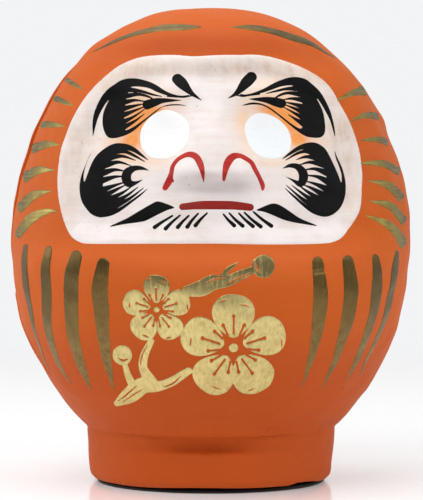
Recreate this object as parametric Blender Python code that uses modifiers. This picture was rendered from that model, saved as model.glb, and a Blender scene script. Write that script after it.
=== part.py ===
"""Daruma doll: a hollow papier-mache doll on a round foot, weighted with clay and painted by hand.

Two paper half shells meet at an upright seam that a pasted paper strip covers. A clay weight fills
the foot and a board closes it from below. Every coat of paint is a thin film that lies on the shell.

Frame: +Z is up, the origin is the centre of the base board's underside, and the face looks along -Y.
Sizes are in millimetres and are turned into Blender's metres by MM where geometry is made.
"""

import math

import bmesh
import bpy
import numpy as np
from mathutils import Matrix, Vector

MM = 0.001
GAP = 0.3  # clearance between pieces that touch

# The turned body: two half ovals that meet at the belly, standing on a short foot. Heights on the
# paper body are heights on its mould, whose lowest part is trimmed off before the doll is closed.
FOOT_TRIM = 1.7
HEIGHT = 150.0
BELLY_RADIUS = 62.4
BELLY_HEIGHT = 77.0
BELLY_DROP = 74.0  # upright half axis of the lower oval, which the foot cuts short
HEAD_POWER = 2.1  # a little over 2 squares the crown slightly
HOOD_PULL = 0.8  # how far the hood draws in round the face
HOOD_PULL_HEIGHT = 105.0
HOOD_PULL_SPREAD = 16.0
FOOT_HEIGHT = 19.2
FOOT_TOP_RADIUS = 39.0
FOOT_RIM_RADIUS = 37.8
RIM_HEIGHT = 3.2  # the shells' lower edge, which clears the base board
AROUND = 40  # facets round the body
HEAD_ROWS = 11
BELLY_ROWS = 8
FOOT_ROWS = 3

# The paper shells and the strip over their seam.
WALL = 2.0
SEAM_Y = -10.0
STRIP_WIDTH = 7.0
STRIP_THICKNESS = 0.4

# The clay weight and the board under it.
BOARD_RADIUS = 35.8
BOARD_THICKNESS = 1.2
WEIGHT_HEIGHT = 12.0
WEIGHT_DISH = 2.5  # how far the clay's top sinks in the middle
WEIGHT_CHAMFER = 1.0

# The paint: films over the shell, and films over the white of the face.
FILM = 0.3
UNDER_FILM = GAP
OVER_FILM = UNDER_FILM + FILM + GAP
PRISM_FRONT = 80.0
PRISM_BACK = 5.0

# The face as seen from the front, as (x, z). Its halves mirror about x = 0.
FACE_HALF = [
    (0, 130.6), (14, 131), (24, 128.5), (32.5, 123), (38.5, 116), (43, 107),
    (45.2, 96), (44.5, 86), (41, 78.5), (34, 75.7), (0, 75.7),
]
FACE_OUTLINE = FACE_HALF + [(-x, z) for x, z in FACE_HALF[-2:0:-1]]
FEATURE_CENTRE = 0.8  # the brush work is centred this far to the right

ORANGE = (0.62, 0.115, 0.026)
WHITE = (0.86, 0.80, 0.76)
EYE_WHITE = (0.93, 0.94, 0.94)
BLACK = (0.012, 0.012, 0.012)
RED = (0.36, 0.022, 0.018)
GOLD = (0.55, 0.40, 0.13)
CLAY = (0.19, 0.13, 0.09)
BOARD = (0.28, 0.20, 0.13)


# ---------------------------------------------------------------- shape of the doll


def ease(value):
    """0 below 0, 1 above 1, and a smooth step between."""
    value = min(1.0, max(0.0, value))
    return value * value * (3.0 - 2.0 * value)


def bell(x, z, x_middle, z_middle, x_spread, z_spread):
    """A smooth mound of height 1 about one point of the front."""
    return math.exp(-(((x - x_middle) / x_spread) ** 2) - ((z - z_middle) / z_spread) ** 2)


def turned_profile():
    """The body's outline from the crown down to the foot's rim, as (radius, z)."""
    points = []
    for row in range(HEAD_ROWS + 1):
        turn = math.radians(90.0) * (1.0 - row / HEAD_ROWS)
        radius = BELLY_RADIUS * max(0.0, math.cos(turn)) ** (2 / HEAD_POWER)
        z = BELLY_HEIGHT + (HEIGHT - BELLY_HEIGHT) * math.sin(turn) ** (2 / HEAD_POWER)
        pull = HOOD_PULL * math.exp(-(((z - HOOD_PULL_HEIGHT) / HOOD_PULL_SPREAD) ** 2))
        points.append((0.0 if row == 0 else radius - pull, z))
    end = math.asin((BELLY_HEIGHT - FOOT_HEIGHT) / BELLY_DROP)
    for row in range(1, BELLY_ROWS + 1):
        turn = end * row / BELLY_ROWS
        points.append((BELLY_RADIUS * math.cos(turn), BELLY_HEIGHT - BELLY_DROP * math.sin(turn)))
    for row in range(1, FOOT_ROWS + 1):
        share = row / FOOT_ROWS
        radius = FOOT_TOP_RADIUS + (FOOT_RIM_RADIUS - FOOT_TOP_RADIUS) * share
        points.append((radius, FOOT_HEIGHT + (RIM_HEIGHT - FOOT_HEIGHT) * share))
    return points


def depth_inside(x, z, outline):
    """Distance from (x, z) to the outline, positive inside it."""
    nearest = math.inf
    inside = False
    for (ax, az), (bx, bz) in zip(outline, outline[1:] + outline[:1]):
        run, rise = bx - ax, bz - az
        share = ((x - ax) * run + (z - az) * rise) / (run * run + rise * rise)
        share = min(1.0, max(0.0, share))
        nearest = min(nearest, math.hypot(x - ax - share * run, z - az - share * rise))
        if (az > z) != (bz > z) and x < run * (z - az) / rise + ax:
            inside = not inside
    return nearest if inside else -nearest


def relief(x, z, facing):
    """How far the front stands out along -Y, where facing is 1 at the front and 0 at the sides."""
    side = abs(x)
    middle = x - FEATURE_CENTRE
    stands = -3.0 * ease(depth_inside(x, z, FACE_OUTLINE) / 7.0)
    nose_width = 4.5 + 4.5 * ease((118.0 - z) / 20.0)
    nose_rise = 6.0 * ease((124.0 - z) / 26.0) * ease((z - 90.0) / 6.5)
    stands += nose_rise * math.exp(-((middle / nose_width) ** 2))
    stands += 2.2 * bell(abs(middle), z, 9.0, 96.5, 4.0, 4.2)  # nostril wings
    stands += 2.2 * bell(middle, z, 0.0, 84.5, 20.0, 7.5)  # lips
    stands += 1.2 * bell(side, z, 18.0, 121.0, 14.0, 4.0)  # brow ridges
    stands -= 1.2 * bell(side, z, 15.0, 108.0, 9.0, 8.0)  # eye hollows
    ledge_height = 69.0 + 4.0 * (x / BELLY_RADIUS) ** 2
    ledge_spread = 6.0 if z > ledge_height else 20.0
    stands += 2.8 * math.exp(-(((z - ledge_height) / ledge_spread) ** 2)) * ease(facing / 0.6)
    stands += 2.2 * bell(x, z, 0.0, 20.0, 21.0, 3.6)  # the belly sags over the foot
    return stands * ease(facing / 0.35)


# ---------------------------------------------------------------- Blender helpers


def clear_scene():
    for obj in list(bpy.data.objects):
        bpy.data.objects.remove(obj, do_unlink=True)


def new_collection(name):
    collection = bpy.data.collections.new(name)
    bpy.context.scene.collection.children.link(collection)
    return collection


def material(name, colour, roughness, metallic=0.0):
    made = bpy.data.materials.new(name)
    made.use_nodes = True
    shader = made.node_tree.nodes["Principled BSDF"]
    shader.inputs["Base Color"].default_value = (*colour, 1.0)
    shader.inputs["Roughness"].default_value = roughness
    shader.inputs["Metallic"].default_value = metallic
    return made


def add_object(name, data, collection, finish=None):
    obj = bpy.data.objects.new(name, data)
    collection.objects.link(obj)
    if finish is not None:
        data.materials.clear()
        data.materials.append(finish)
    return obj


def evaluated_mesh(obj):
    """A plain mesh of the object with its modifiers carried out."""
    bpy.context.view_layer.update()
    graph = bpy.context.evaluated_depsgraph_get()
    return bpy.data.meshes.new_from_object(obj.evaluated_get(graph))


def turned_mesh(name, outline, collection):
    """The outline, given as (radius, z) down its outer side, spun once round the Z axis."""
    mesh = bpy.data.meshes.new(name)
    points = [(radius * MM, 0.0, z * MM) for radius, z in outline]
    mesh.from_pydata(points, [(i, i + 1) for i in range(len(points) - 1)], [])
    obj = add_object(name, mesh, collection)
    screw = obj.modifiers.new("turn", "SCREW")
    screw.steps = screw.render_steps = AROUND
    screw.use_merge_vertices = True
    screw.merge_threshold = 0.0001
    return obj


def boolean(obj, operation, other):
    modifier = obj.modifiers.new(operation.lower(), "BOOLEAN")
    modifier.operation = operation
    modifier.solver = "EXACT"
    modifier.object = other


def solidify(obj, thickness, outwards=False):
    modifier = obj.modifiers.new("thickness", "SOLIDIFY")
    modifier.thickness = thickness * MM
    modifier.offset = 1.0 if outwards else -1.0
    modifier.use_even_offset = True


# ---------------------------------------------------------------- the body's surface


def refine_face(bm):
    """Halves the facets in the face, so that the nose and lips are round enough."""
    edges = set()
    for face in bm.faces:
        middle = face.calc_center_median() / MM
        if middle.y < 0 and depth_inside(middle.x, middle.z, FACE_OUTLINE) > -2.0:
            edges.update(face.edges)
    bmesh.ops.subdivide_edges(bm, edges=list(edges), cuts=1, use_grid_fill=True)


def shape_front(bm):
    """Presses the relief into the front of the turned surface."""
    for vertex in bm.verts:
        x, y, z = vertex.co / MM
        radius = math.hypot(x, y)
        if y < 0 and radius > 0:
            vertex.co.y -= relief(x, z, -y / radius) * MM


def doll_surface(collection):
    """The doll's whole outer surface, open at the foot's rim, as a mesh."""
    turned = turned_mesh("body_form", turned_profile(), collection)
    mesh = evaluated_mesh(turned)
    bpy.data.objects.remove(turned)
    bm = bmesh.new()
    bm.from_mesh(mesh)
    bmesh.ops.remove_doubles(bm, verts=bm.verts, dist=0.01 * MM)
    bmesh.ops.recalc_face_normals(bm, faces=bm.faces)
    refine_face(bm)
    shape_front(bm)
    bmesh.ops.triangulate(bm, faces=bm.faces, quad_method="SHORT_EDGE")
    bm.to_mesh(mesh)
    bm.free()
    return mesh


def cut_surface(mesh, name, front=None, back=None, raised=0.0):
    """A copy of the surface from y = front to y = back, moved out by raised."""
    bm = bmesh.new()
    bm.from_mesh(mesh)
    bm.normal_update()
    steps = [vertex.normal * raised * vertex.calc_shell_factor() * MM for vertex in bm.verts]
    for vertex, step in zip(bm.verts, steps):
        vertex.co += step
    for limit, keep_behind in ((front, True), (back, False)):
        if limit is None:
            continue
        bmesh.ops.bisect_plane(
            bm,
            geom=bm.verts[:] + bm.edges[:] + bm.faces[:],
            plane_co=(0, limit * MM, 0),
            plane_no=(0, 1, 0),
            clear_inner=keep_behind,
            clear_outer=not keep_behind,
        )
    bmesh.ops.remove_doubles(bm, verts=bm.verts, dist=0.01 * MM)
    cut = bpy.data.meshes.new(name)
    bm.to_mesh(cut)
    bm.free()
    cut.shade_smooth()
    return cut


def paper_pieces(surface, collection, paper):
    """The two half shells and the strip pasted over their seam."""
    front = cut_surface(surface, "front_shell", back=SEAM_Y - GAP / 2)
    solidify(add_object("front_shell", front, collection, paper), WALL)
    rear = cut_surface(surface, "rear_shell", front=SEAM_Y + GAP / 2)
    solidify(add_object("rear_shell", rear, collection, paper), WALL)
    half = STRIP_WIDTH / 2
    strip = cut_surface(surface, "seam_strip", front=SEAM_Y - half, back=SEAM_Y + half, raised=GAP)
    solidify(add_object("seam_strip", strip, collection, paper), STRIP_THICKNESS, outwards=True)


# ---------------------------------------------------------------- what the foot holds


def foot_pieces(collection, clay, board):
    """The board that closes the foot and the clay weight that stands on it."""
    outline = [(0, BOARD_THICKNESS), (BOARD_RADIUS, BOARD_THICKNESS), (BOARD_RADIUS, 0), (0, 0)]
    base = turned_mesh("base_board", outline, collection)
    base.data.materials.append(board)
    low = BOARD_THICKNESS + GAP
    high = low + WEIGHT_HEIGHT
    radius = FOOT_RIM_RADIUS - WALL - GAP
    outline = [
        (0, high - WEIGHT_DISH),
        (radius * 0.6, high - WEIGHT_DISH * 0.7),
        (radius - 3 * WEIGHT_CHAMFER, high),
        (radius - WEIGHT_CHAMFER, high),
        (radius, high - WEIGHT_CHAMFER),
        (radius, low + WEIGHT_CHAMFER),
        (radius - WEIGHT_CHAMFER, low),
        (0, low),
    ]
    weight = turned_mesh("clay_weight", outline, collection)
    weight.data.materials.append(clay)


# ---------------------------------------------------------------- paint films


def mirrored(points):
    """The same outline on the other side of the face."""
    return [(2 * FEATURE_CENTRE - x, z) for x, z in points]


def ellipse(x, z, half_width, half_height, count=16, tilt=0.0):
    """Points round an oval, tilted by an angle in degrees."""
    lean = math.radians(tilt)
    points = []
    for step in range(count):
        turn = math.tau * step / count
        across, up = half_width * math.cos(turn), half_height * math.sin(turn)
        points.append(
            (x + across * math.cos(lean) - up * math.sin(lean),
             z + across * math.sin(lean) + up * math.cos(lean))
        )
    return points


def brush_stroke(path, widths):
    """The outline of a stroke along the path, as wide at each point as widths says."""
    left, right = [], []
    last = len(path) - 1
    for i, (x, z) in enumerate(path):
        ax, az = path[max(0, i - 1)]
        bx, bz = path[min(last, i + 1)]
        length = math.hypot(bx - ax, bz - az)
        half = max(widths[i], 0.2) / 2
        across = ((az - bz) / length * half, (bx - ax) / length * half)
        left.append((x + across[0], z + across[1]))
        right.append((x - across[0], z - across[1]))
    return left + right[::-1]


def prism(name, outline, collection):
    """A mesh of the flat outline drawn out along Y through the doll's front half."""
    curve = bpy.data.curves.new(name, "CURVE")
    curve.dimensions = "2D"
    curve.fill_mode = "BOTH"
    curve.extrude = (PRISM_FRONT - PRISM_BACK) / 2 * MM
    spline = curve.splines.new("POLY")
    spline.points.add(len(outline) - 1)
    for point, (x, z) in zip(spline.points, outline):
        point.co = (x * MM, z * MM, 0, 1)
    spline.use_cyclic_u = True
    drawn = add_object(name + "_curve", curve, collection)
    mesh = evaluated_mesh(drawn)
    bpy.data.objects.remove(drawn)
    upright = Matrix.Rotation(math.radians(90), 4, "X")
    mesh.transform(Matrix.Translation((0, -(PRISM_FRONT + PRISM_BACK) / 2 * MM, 0)) @ upright)
    bm = bmesh.new()
    bm.from_mesh(mesh)
    bmesh.ops.remove_doubles(bm, verts=bm.verts, dist=0.001 * MM)
    bmesh.ops.recalc_face_normals(bm, faces=bm.faces)
    bm.to_mesh(mesh)
    bm.free()
    return mesh


def paint_skin(surface, name, raised, collection):
    """A thin closed skin over the front, which the films are cut from."""
    back = SEAM_Y - STRIP_WIDTH / 2 - 2 * GAP
    sheet = cut_surface(surface, name, back=back, raised=raised)
    skin = add_object(name, sheet, collection)
    solidify(skin, FILM, outwards=True)
    skin.data = evaluated_mesh(skin)
    skin.modifiers.clear()
    skin.hide_render = True
    skin.display_type = "WIRE"
    return skin


def film(name, outlines, skin, finish, collection):
    """A coat of paint in one piece: the skin inside the first outline, joined by the others."""
    obj = add_object(name, prism(name, outlines[0], collection), collection, finish)
    for number, outline in enumerate(outlines[1:]):
        mesh = prism(f"{name}_joined_{number}", outline, collection)
        other = add_object(mesh.name, mesh, skin.users_collection[0])
        other.hide_render = True
        other.display_type = "WIRE"
        boolean(obj, "UNION", other)
    boolean(obj, "INTERSECT", skin)


EYES = {"left": ellipse(-13.4, 107, 6.6, 6.8), "right": ellipse(16.2, 106.6, 6.4, 6.4)}

BROW = [
    (-6.2, 119.2), (-11.2, 119.7), (-15.7, 122.4), (-20.3, 124.3), (-24.5, 124.4), (-28.2, 122.8),
    (-31, 119), (-32, 113), (-31.4, 108.8), (-29.6, 106.8), (-26.5, 106.9), (-22.6, 108.8),
    (-19.2, 111.8), (-15.4, 114.8), (-11.8, 116.2),
]
BROW_DROP = [(-8.9, 125.3), (-11, 124.8), (-11.4, 123), (-9.8, 121.4), (-6.8, 119.9), (-7.5, 122.8)]

CHEEK = [
    (-35, 100), (-31.1, 103.6), (-26.9, 105.3), (-21.8, 103.7), (-18, 100), (-23, 98.2),
    (-24.6, 94.6), (-23.4, 92.4), (-18, 91.6), (-22.8, 87.2), (-28.2, 83.8), (-32.1, 83.4),
    (-36.1, 86.2), (-38, 91), (-37.5, 95.5),
]

MOUSTACHE = [
    (-10.4, 85.9), (-14.8, 87.6), (-16.3, 87.3), (-23.9, 83.1), (-28.7, 80.8), (-19.8, 82),
    (-14.5, 84.2),
]

WHISKER_ENDS = [
    ((-10.8, 83.6), (-15.6, 80.5)), ((-8.4, 83.9), (-12.4, 80.2)), ((-6, 83.9), (-9.3, 80.3)),
    ((-3.6, 84.2), (-6.5, 80.6)), ((-1.2, 84.3), (-4.1, 81)),
]
WHISKER_WIDTHS = [0.5, 1.1]

NOSTRIL = [
    (-12.8, 92), (-11.6, 93.8), (-10.8, 97.8), (-9.3, 99.7), (-7.2, 100.9), (-5.5, 101),
    (-4, 100.2), (-2.9, 98.2), (-2, 93.8),
]
NOSTRIL_WIDTHS = [1.5, 1.6, 1.1, 1.1, 1.2, 1.5, 1.5, 1.4, 0.3]

LIPS = [(-8.4, 86.2), (-1.6, 86.5), (5.3, 86.5), (11.6, 86.2)]
LIP_WIDTHS = [1.7, 2.4, 2.4, 1.9]

CROWN_STROKE = [(-4, 141.2), (-12, 141), (-20.2, 139.9), (-28, 137.8), (-36, 135)]
CROWN_WIDTHS = [0.6, 2.0, 1.6, 1.2, 0.3]

# Each stroke on the hood: its wide outer end, its tip beside the face, and its width.
HOOD_STROKES = {
    "left": [
        ((-43.7, 125.9), (-38.9, 122.6), 1.7), ((-47.3, 120.3), (-42, 117.3), 1.9),
        ((-50.6, 112.5), (-44.6, 111), 2.4), ((-53.8, 105.8), (-46, 105.3), 3.6),
        ((-56.2, 97.8), (-47.2, 97.8), 3.4), ((-57, 89.4), (-47.6, 91.4), 3.2),
        ((-57.6, 81.6), (-46.4, 85), 3.4),
    ],
    "right": [
        ((46.5, 122.8), (39.2, 119.2), 3.2), ((50.8, 115.5), (42.8, 113), 2.9),
        ((53.5, 107.5), (45.3, 106.6), 2.6), ((56.2, 99.6), (47, 99.7), 3.0),
        ((56.8, 91.6), (47.6, 94.4), 3.0), ((57.4, 85), (47.4, 88.4), 3.0),
        ((57.6, 77.6), (46, 83.6), 3.2),
    ],
}

# The long strokes down each side of the belly, top to bottom, and their widths.
SIDE_STROKES = {
    "left": [
        [(-55.6, 75), (-55.7, 70), (-55.3, 63), (-54, 56), (-52.2, 49), (-48.6, 38)],
        [(-47.8, 74), (-48.8, 68), (-48.9, 60), (-48.2, 51), (-46.2, 43), (-41.3, 34)],
        [(-38.7, 72), (-40.4, 65), (-40.8, 58), (-40.4, 50), (-39, 42), (-35.3, 32.5)],
        [(-30.4, 70), (-31.8, 62.5), (-31.7, 56.5), (-31.5, 50.5), (-30.7, 42.5), (-28.6, 33)],
    ],
    "right": [
        [(55.4, 73), (55, 69), (53.9, 62), (52.5, 54), (49.7, 46.5), (45, 35.8)],
        [(47.9, 71.5), (48.5, 66), (48.4, 59.5), (47.2, 53), (45, 45.5), (40.2, 34.5)],
        [(39.5, 71), (40.3, 64.5), (40.1, 58), (39.1, 51.5), (37.8, 45.5), (33, 32)],
        [(30.7, 70.5), (31.3, 62.5), (31.1, 54), (30, 47), (28.6, 40.5), (26.6, 33.5)],
    ],
}
SIDE_WIDTHS = [1.8, 3.8, 3.8, 3.0, 2.2, 0.2]

# The gold plum spray on the belly: blossoms as (x, z, radius), buds, and branches with widths.
BLOSSOMS = [(6.5, 46, 15.5), (-15.5, 57, 10)]
BUDS = [(13.5, 69, 3.2), (-25, 42.5, 2.8)]
BRANCHES = [
    ([(-27, 29.5), (-20, 34.5), (-12, 35.5), (-3, 42)], [2.0, 5.0, 3.8, 3.2]),
    ([(-21, 34), (-25, 43)], [2.2, 1.4]),
    ([(-16, 36), (-19, 43), (-15.5, 52)], [2.6, 2.2, 1.8]),
    ([(-10, 62.5), (-1, 63), (13.5, 69)], [2.4, 3.6, 1.8]),
    ([(2, 63), (6.5, 50)], [2.4, 2.4]),
]
PETALS = 5
PETAL_NOTCH = 0.36  # how deep the gaps between petals go, as a share of the radius


def blossom(x, z, radius):
    """The outline of five round petals."""
    steps = PETALS * 8
    points = []
    for step in range(steps):
        turn = math.tau * step / steps
        bulge = abs(math.cos(PETALS * turn / 2)) ** 0.7
        reach = radius * (1 - PETAL_NOTCH + PETAL_NOTCH * bulge)
        points.append((x + reach * math.sin(turn), z + reach * math.cos(turn)))
    return points


def paint_face(skin, over_skin, finishes, collection):
    """The white of the face and the eyes, brows, cheeks, whiskers, nose and lips on it."""
    film("face_coat", [FACE_OUTLINE], skin, finishes["white"], collection)
    for side in ("left", "right"):
        turn = mirrored if side == "right" else list
        film(f"eye_white_{side}", [EYES[side]], over_skin, finishes["eye"], collection)
        strokes = {
            "brow": (BROW, "black"),
            "brow_drop": (BROW_DROP, "black"),
            "cheek": (CHEEK, "black"),
            "moustache": (MOUSTACHE, "black"),
            "nostril": (brush_stroke(NOSTRIL, NOSTRIL_WIDTHS), "red"),
        }
        for number, ends in enumerate(WHISKER_ENDS, 1):
            strokes[f"whisker_{number}"] = (brush_stroke(ends, WHISKER_WIDTHS), "black")
        for name, (outline, finish) in strokes.items():
            film(f"{name}_{side}", [turn(outline)], over_skin, finishes[finish], collection)
    film("lips", [brush_stroke(LIPS, LIP_WIDTHS)], over_skin, finishes["red"], collection)


def paint_gold(skin, gold, collection):
    """The gold strokes on the hood, crown and sides, and the plum spray on the belly."""
    for side in ("left", "right"):
        for number, (end, tip, width) in enumerate(HOOD_STROKES[side], 1):
            stroke = brush_stroke([end, tip], [width, 0.3])
            film(f"hood_stroke_{number}_{side}", [stroke], skin, gold, collection)
        for number, path in enumerate(SIDE_STROKES[side], 1):
            stroke = brush_stroke(path, SIDE_WIDTHS)
            film(f"side_stroke_{number}_{side}", [stroke], skin, gold, collection)
        stroke = brush_stroke(CROWN_STROKE, CROWN_WIDTHS)
        turned = mirrored(stroke) if side == "right" else stroke
        film(f"crown_stroke_{side}", [turned], skin, gold, collection)
    spray = [blossom(*flower) for flower in BLOSSOMS]
    spray += [ellipse(x, z, radius, radius, count=10) for x, z, radius in BUDS]
    spray += [brush_stroke(path, widths) for path, widths in BRANCHES]
    film("plum_spray", spray, skin, gold, collection)


def seat_body():
    """Lowers the paper body and its paint by what is trimmed off the foot."""
    for obj in bpy.data.objects:
        obj.location.z -= FOOT_TRIM * MM


def main():
    clear_scene()
    doll = new_collection("daruma_doll")
    helpers = new_collection("helpers")
    surface = doll_surface(helpers)
    paper_pieces(surface, doll, material("orange_paint", ORANGE, 0.6))
    skin = paint_skin(surface, "skin_under", UNDER_FILM, helpers)
    over_skin = paint_skin(surface, "skin_over", OVER_FILM, helpers)
    finishes = {
        "white": material("white_paint", WHITE, 0.6),
        "eye": material("eye_paint", EYE_WHITE, 0.5),
        "black": material("black_paint", BLACK, 0.45),
        "red": material("red_paint", RED, 0.45),
    }
    paint_face(skin, over_skin, finishes, doll)
    paint_gold(skin, material("gold_paint", GOLD, 0.4, 0.9), doll)
    seat_body()
    foot_pieces(doll, material("clay", CLAY, 0.9), material("board", BOARD, 0.85))


main()
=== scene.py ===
"""The looks of a papier-mache daruma doll: paper shells, painted face, gold brush work and a studio.

Every piece is a surface worked out with numpy over one formula for the outside of the doll. Sizes
are in millimetres and become metres when a mesh is made. +Z is up and the face looks along -Y.
"""

import logging
import math
from dataclasses import dataclass, field
from enum import Enum
from typing import Any, Sequence

import bmesh
import bpy
import numpy as np
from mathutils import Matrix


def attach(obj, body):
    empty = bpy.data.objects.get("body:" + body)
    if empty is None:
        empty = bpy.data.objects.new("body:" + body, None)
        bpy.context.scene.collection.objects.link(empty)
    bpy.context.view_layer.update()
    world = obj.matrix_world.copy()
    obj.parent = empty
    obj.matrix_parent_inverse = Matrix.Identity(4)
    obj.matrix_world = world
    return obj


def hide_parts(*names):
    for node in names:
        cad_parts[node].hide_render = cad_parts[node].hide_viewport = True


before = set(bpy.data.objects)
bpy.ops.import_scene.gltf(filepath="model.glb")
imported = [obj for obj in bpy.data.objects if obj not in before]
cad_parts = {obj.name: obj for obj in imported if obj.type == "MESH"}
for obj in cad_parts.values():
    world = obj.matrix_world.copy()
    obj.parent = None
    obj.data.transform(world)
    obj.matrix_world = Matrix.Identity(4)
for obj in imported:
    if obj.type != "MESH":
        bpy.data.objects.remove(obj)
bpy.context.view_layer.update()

MM = 0.001
BODY = "root"
FOOT_TRIM = 1.7  # heights on the paper body are heights on its mould, this much above the table's

Array = np.ndarray
Point = tuple[float, float]
Triple = tuple[float, float, float]
Colour = Triple

log = logging.getLogger("daruma")


# ---------------------------------------------------------------- small formulas


def ease(value: Array) -> Array:
    """0 below 0, 1 above 1, and a smooth step between."""
    value = np.clip(value, 0.0, 1.0)
    return value * value * (3.0 - 2.0 * value)


def mound(x: Array, z: Array, centre: Point, spread: Point) -> Array:
    """A bell of height 1 about a centre: e to the minus squared scaled distance."""
    return np.exp(-(((x - centre[0]) / spread[0]) ** 2) - ((z - centre[1]) / spread[1]) ** 2)


def smooth_line(points: Sequence[Sequence[float]], steps: int = 6, closed: bool = False) -> Array:
    """A Catmull-Rom curve through the points.

    Each span is the cubic that passes through its two end points with the slope of their
    neighbours.

    Args:
        points: the points to pass through, with any number of columns.
        steps: how many pieces each span is divided into.
        closed: whether the last point joins the first.

    Returns:
        The points of the curve, one row each.
    """
    given = np.asarray(points, float)
    if closed:
        before, start = np.roll(given, 1, axis=0), given
        end, after = np.roll(given, -1, axis=0), np.roll(given, -2, axis=0)
    else:
        padded = np.vstack([2 * given[0] - given[1], given, 2 * given[-1] - given[-2]])
        before, start, end, after = padded[:-3], padded[1:-2], padded[2:-1], padded[3:]
    t = (np.arange(steps) / steps)[None, :, None]
    before, start, end, after = (row[:, None, :] for row in (before, start, end, after))
    curve = 0.5 * (
        2 * start
        + (end - before) * t
        + (2 * before - 5 * start + 4 * end - after) * t**2
        + (3 * start - before - 3 * end + after) * t**3
    )
    curve = curve.reshape(-1, given.shape[1])
    return curve if closed else np.vstack([curve, given[-1]])


def loop_depth(x: Array, z: Array, loop: Array) -> Array:
    """Distance to a closed outline, positive inside it.

    Args:
        x: first coordinate of the places asked about.
        z: second coordinate of the places asked about.
        loop: the outline's corners, one row each.

    Returns:
        The signed distance at each place.
    """
    nearest = np.full(x.shape, np.inf)
    inside = np.zeros(x.shape, bool)
    for (ax, az), (bx, bz) in zip(loop, np.roll(loop, -1, axis=0)):
        run, rise = bx - ax, bz - az
        share = ((x - ax) * run + (z - az) * rise) / max(run * run + rise * rise, 1e-12)
        share = np.clip(share, 0.0, 1.0)
        nearest = np.minimum(nearest, np.hypot(x - ax - share * run, z - az - share * rise))
        if az != bz:
            crosses = ((az > z) != (bz > z)) & (x < run * (z - az) / rise + ax)
            inside ^= crosses
    return np.where(inside, nearest, -nearest)


def stroke_depth(x: Array, z: Array, line: Array) -> Array:
    """How deep each place lies in a stroke: its half width less the distance to its line.

    Args:
        x: first coordinate of the places asked about.
        z: second coordinate of the places asked about.
        line: rows of (x, z, width) along the stroke.

    Returns:
        The depth at each place, positive in the stroke.
    """
    depth = np.full(x.shape, -np.inf)
    for (ax, az, aw), (bx, bz, bw) in zip(line[:-1], line[1:]):
        run, rise = bx - ax, bz - az
        share = ((x - ax) * run + (z - az) * rise) / max(run * run + rise * rise, 1e-12)
        share = np.clip(share, 0.0, 1.0)
        away = np.hypot(x - ax - share * run, z - az - share * rise)
        depth = np.maximum(depth, (aw + (bw - aw) * share) / 2 - away)
    return depth


# ---------------------------------------------------------------- the doll's outside


FACE_HALF = [
    (0, 130.6), (14, 131), (24, 128.5), (32.5, 123), (38.5, 116), (43, 107),
    (45.2, 96), (44.5, 86), (41, 78.5), (34, 75.7), (0, 75.7),
]


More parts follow.
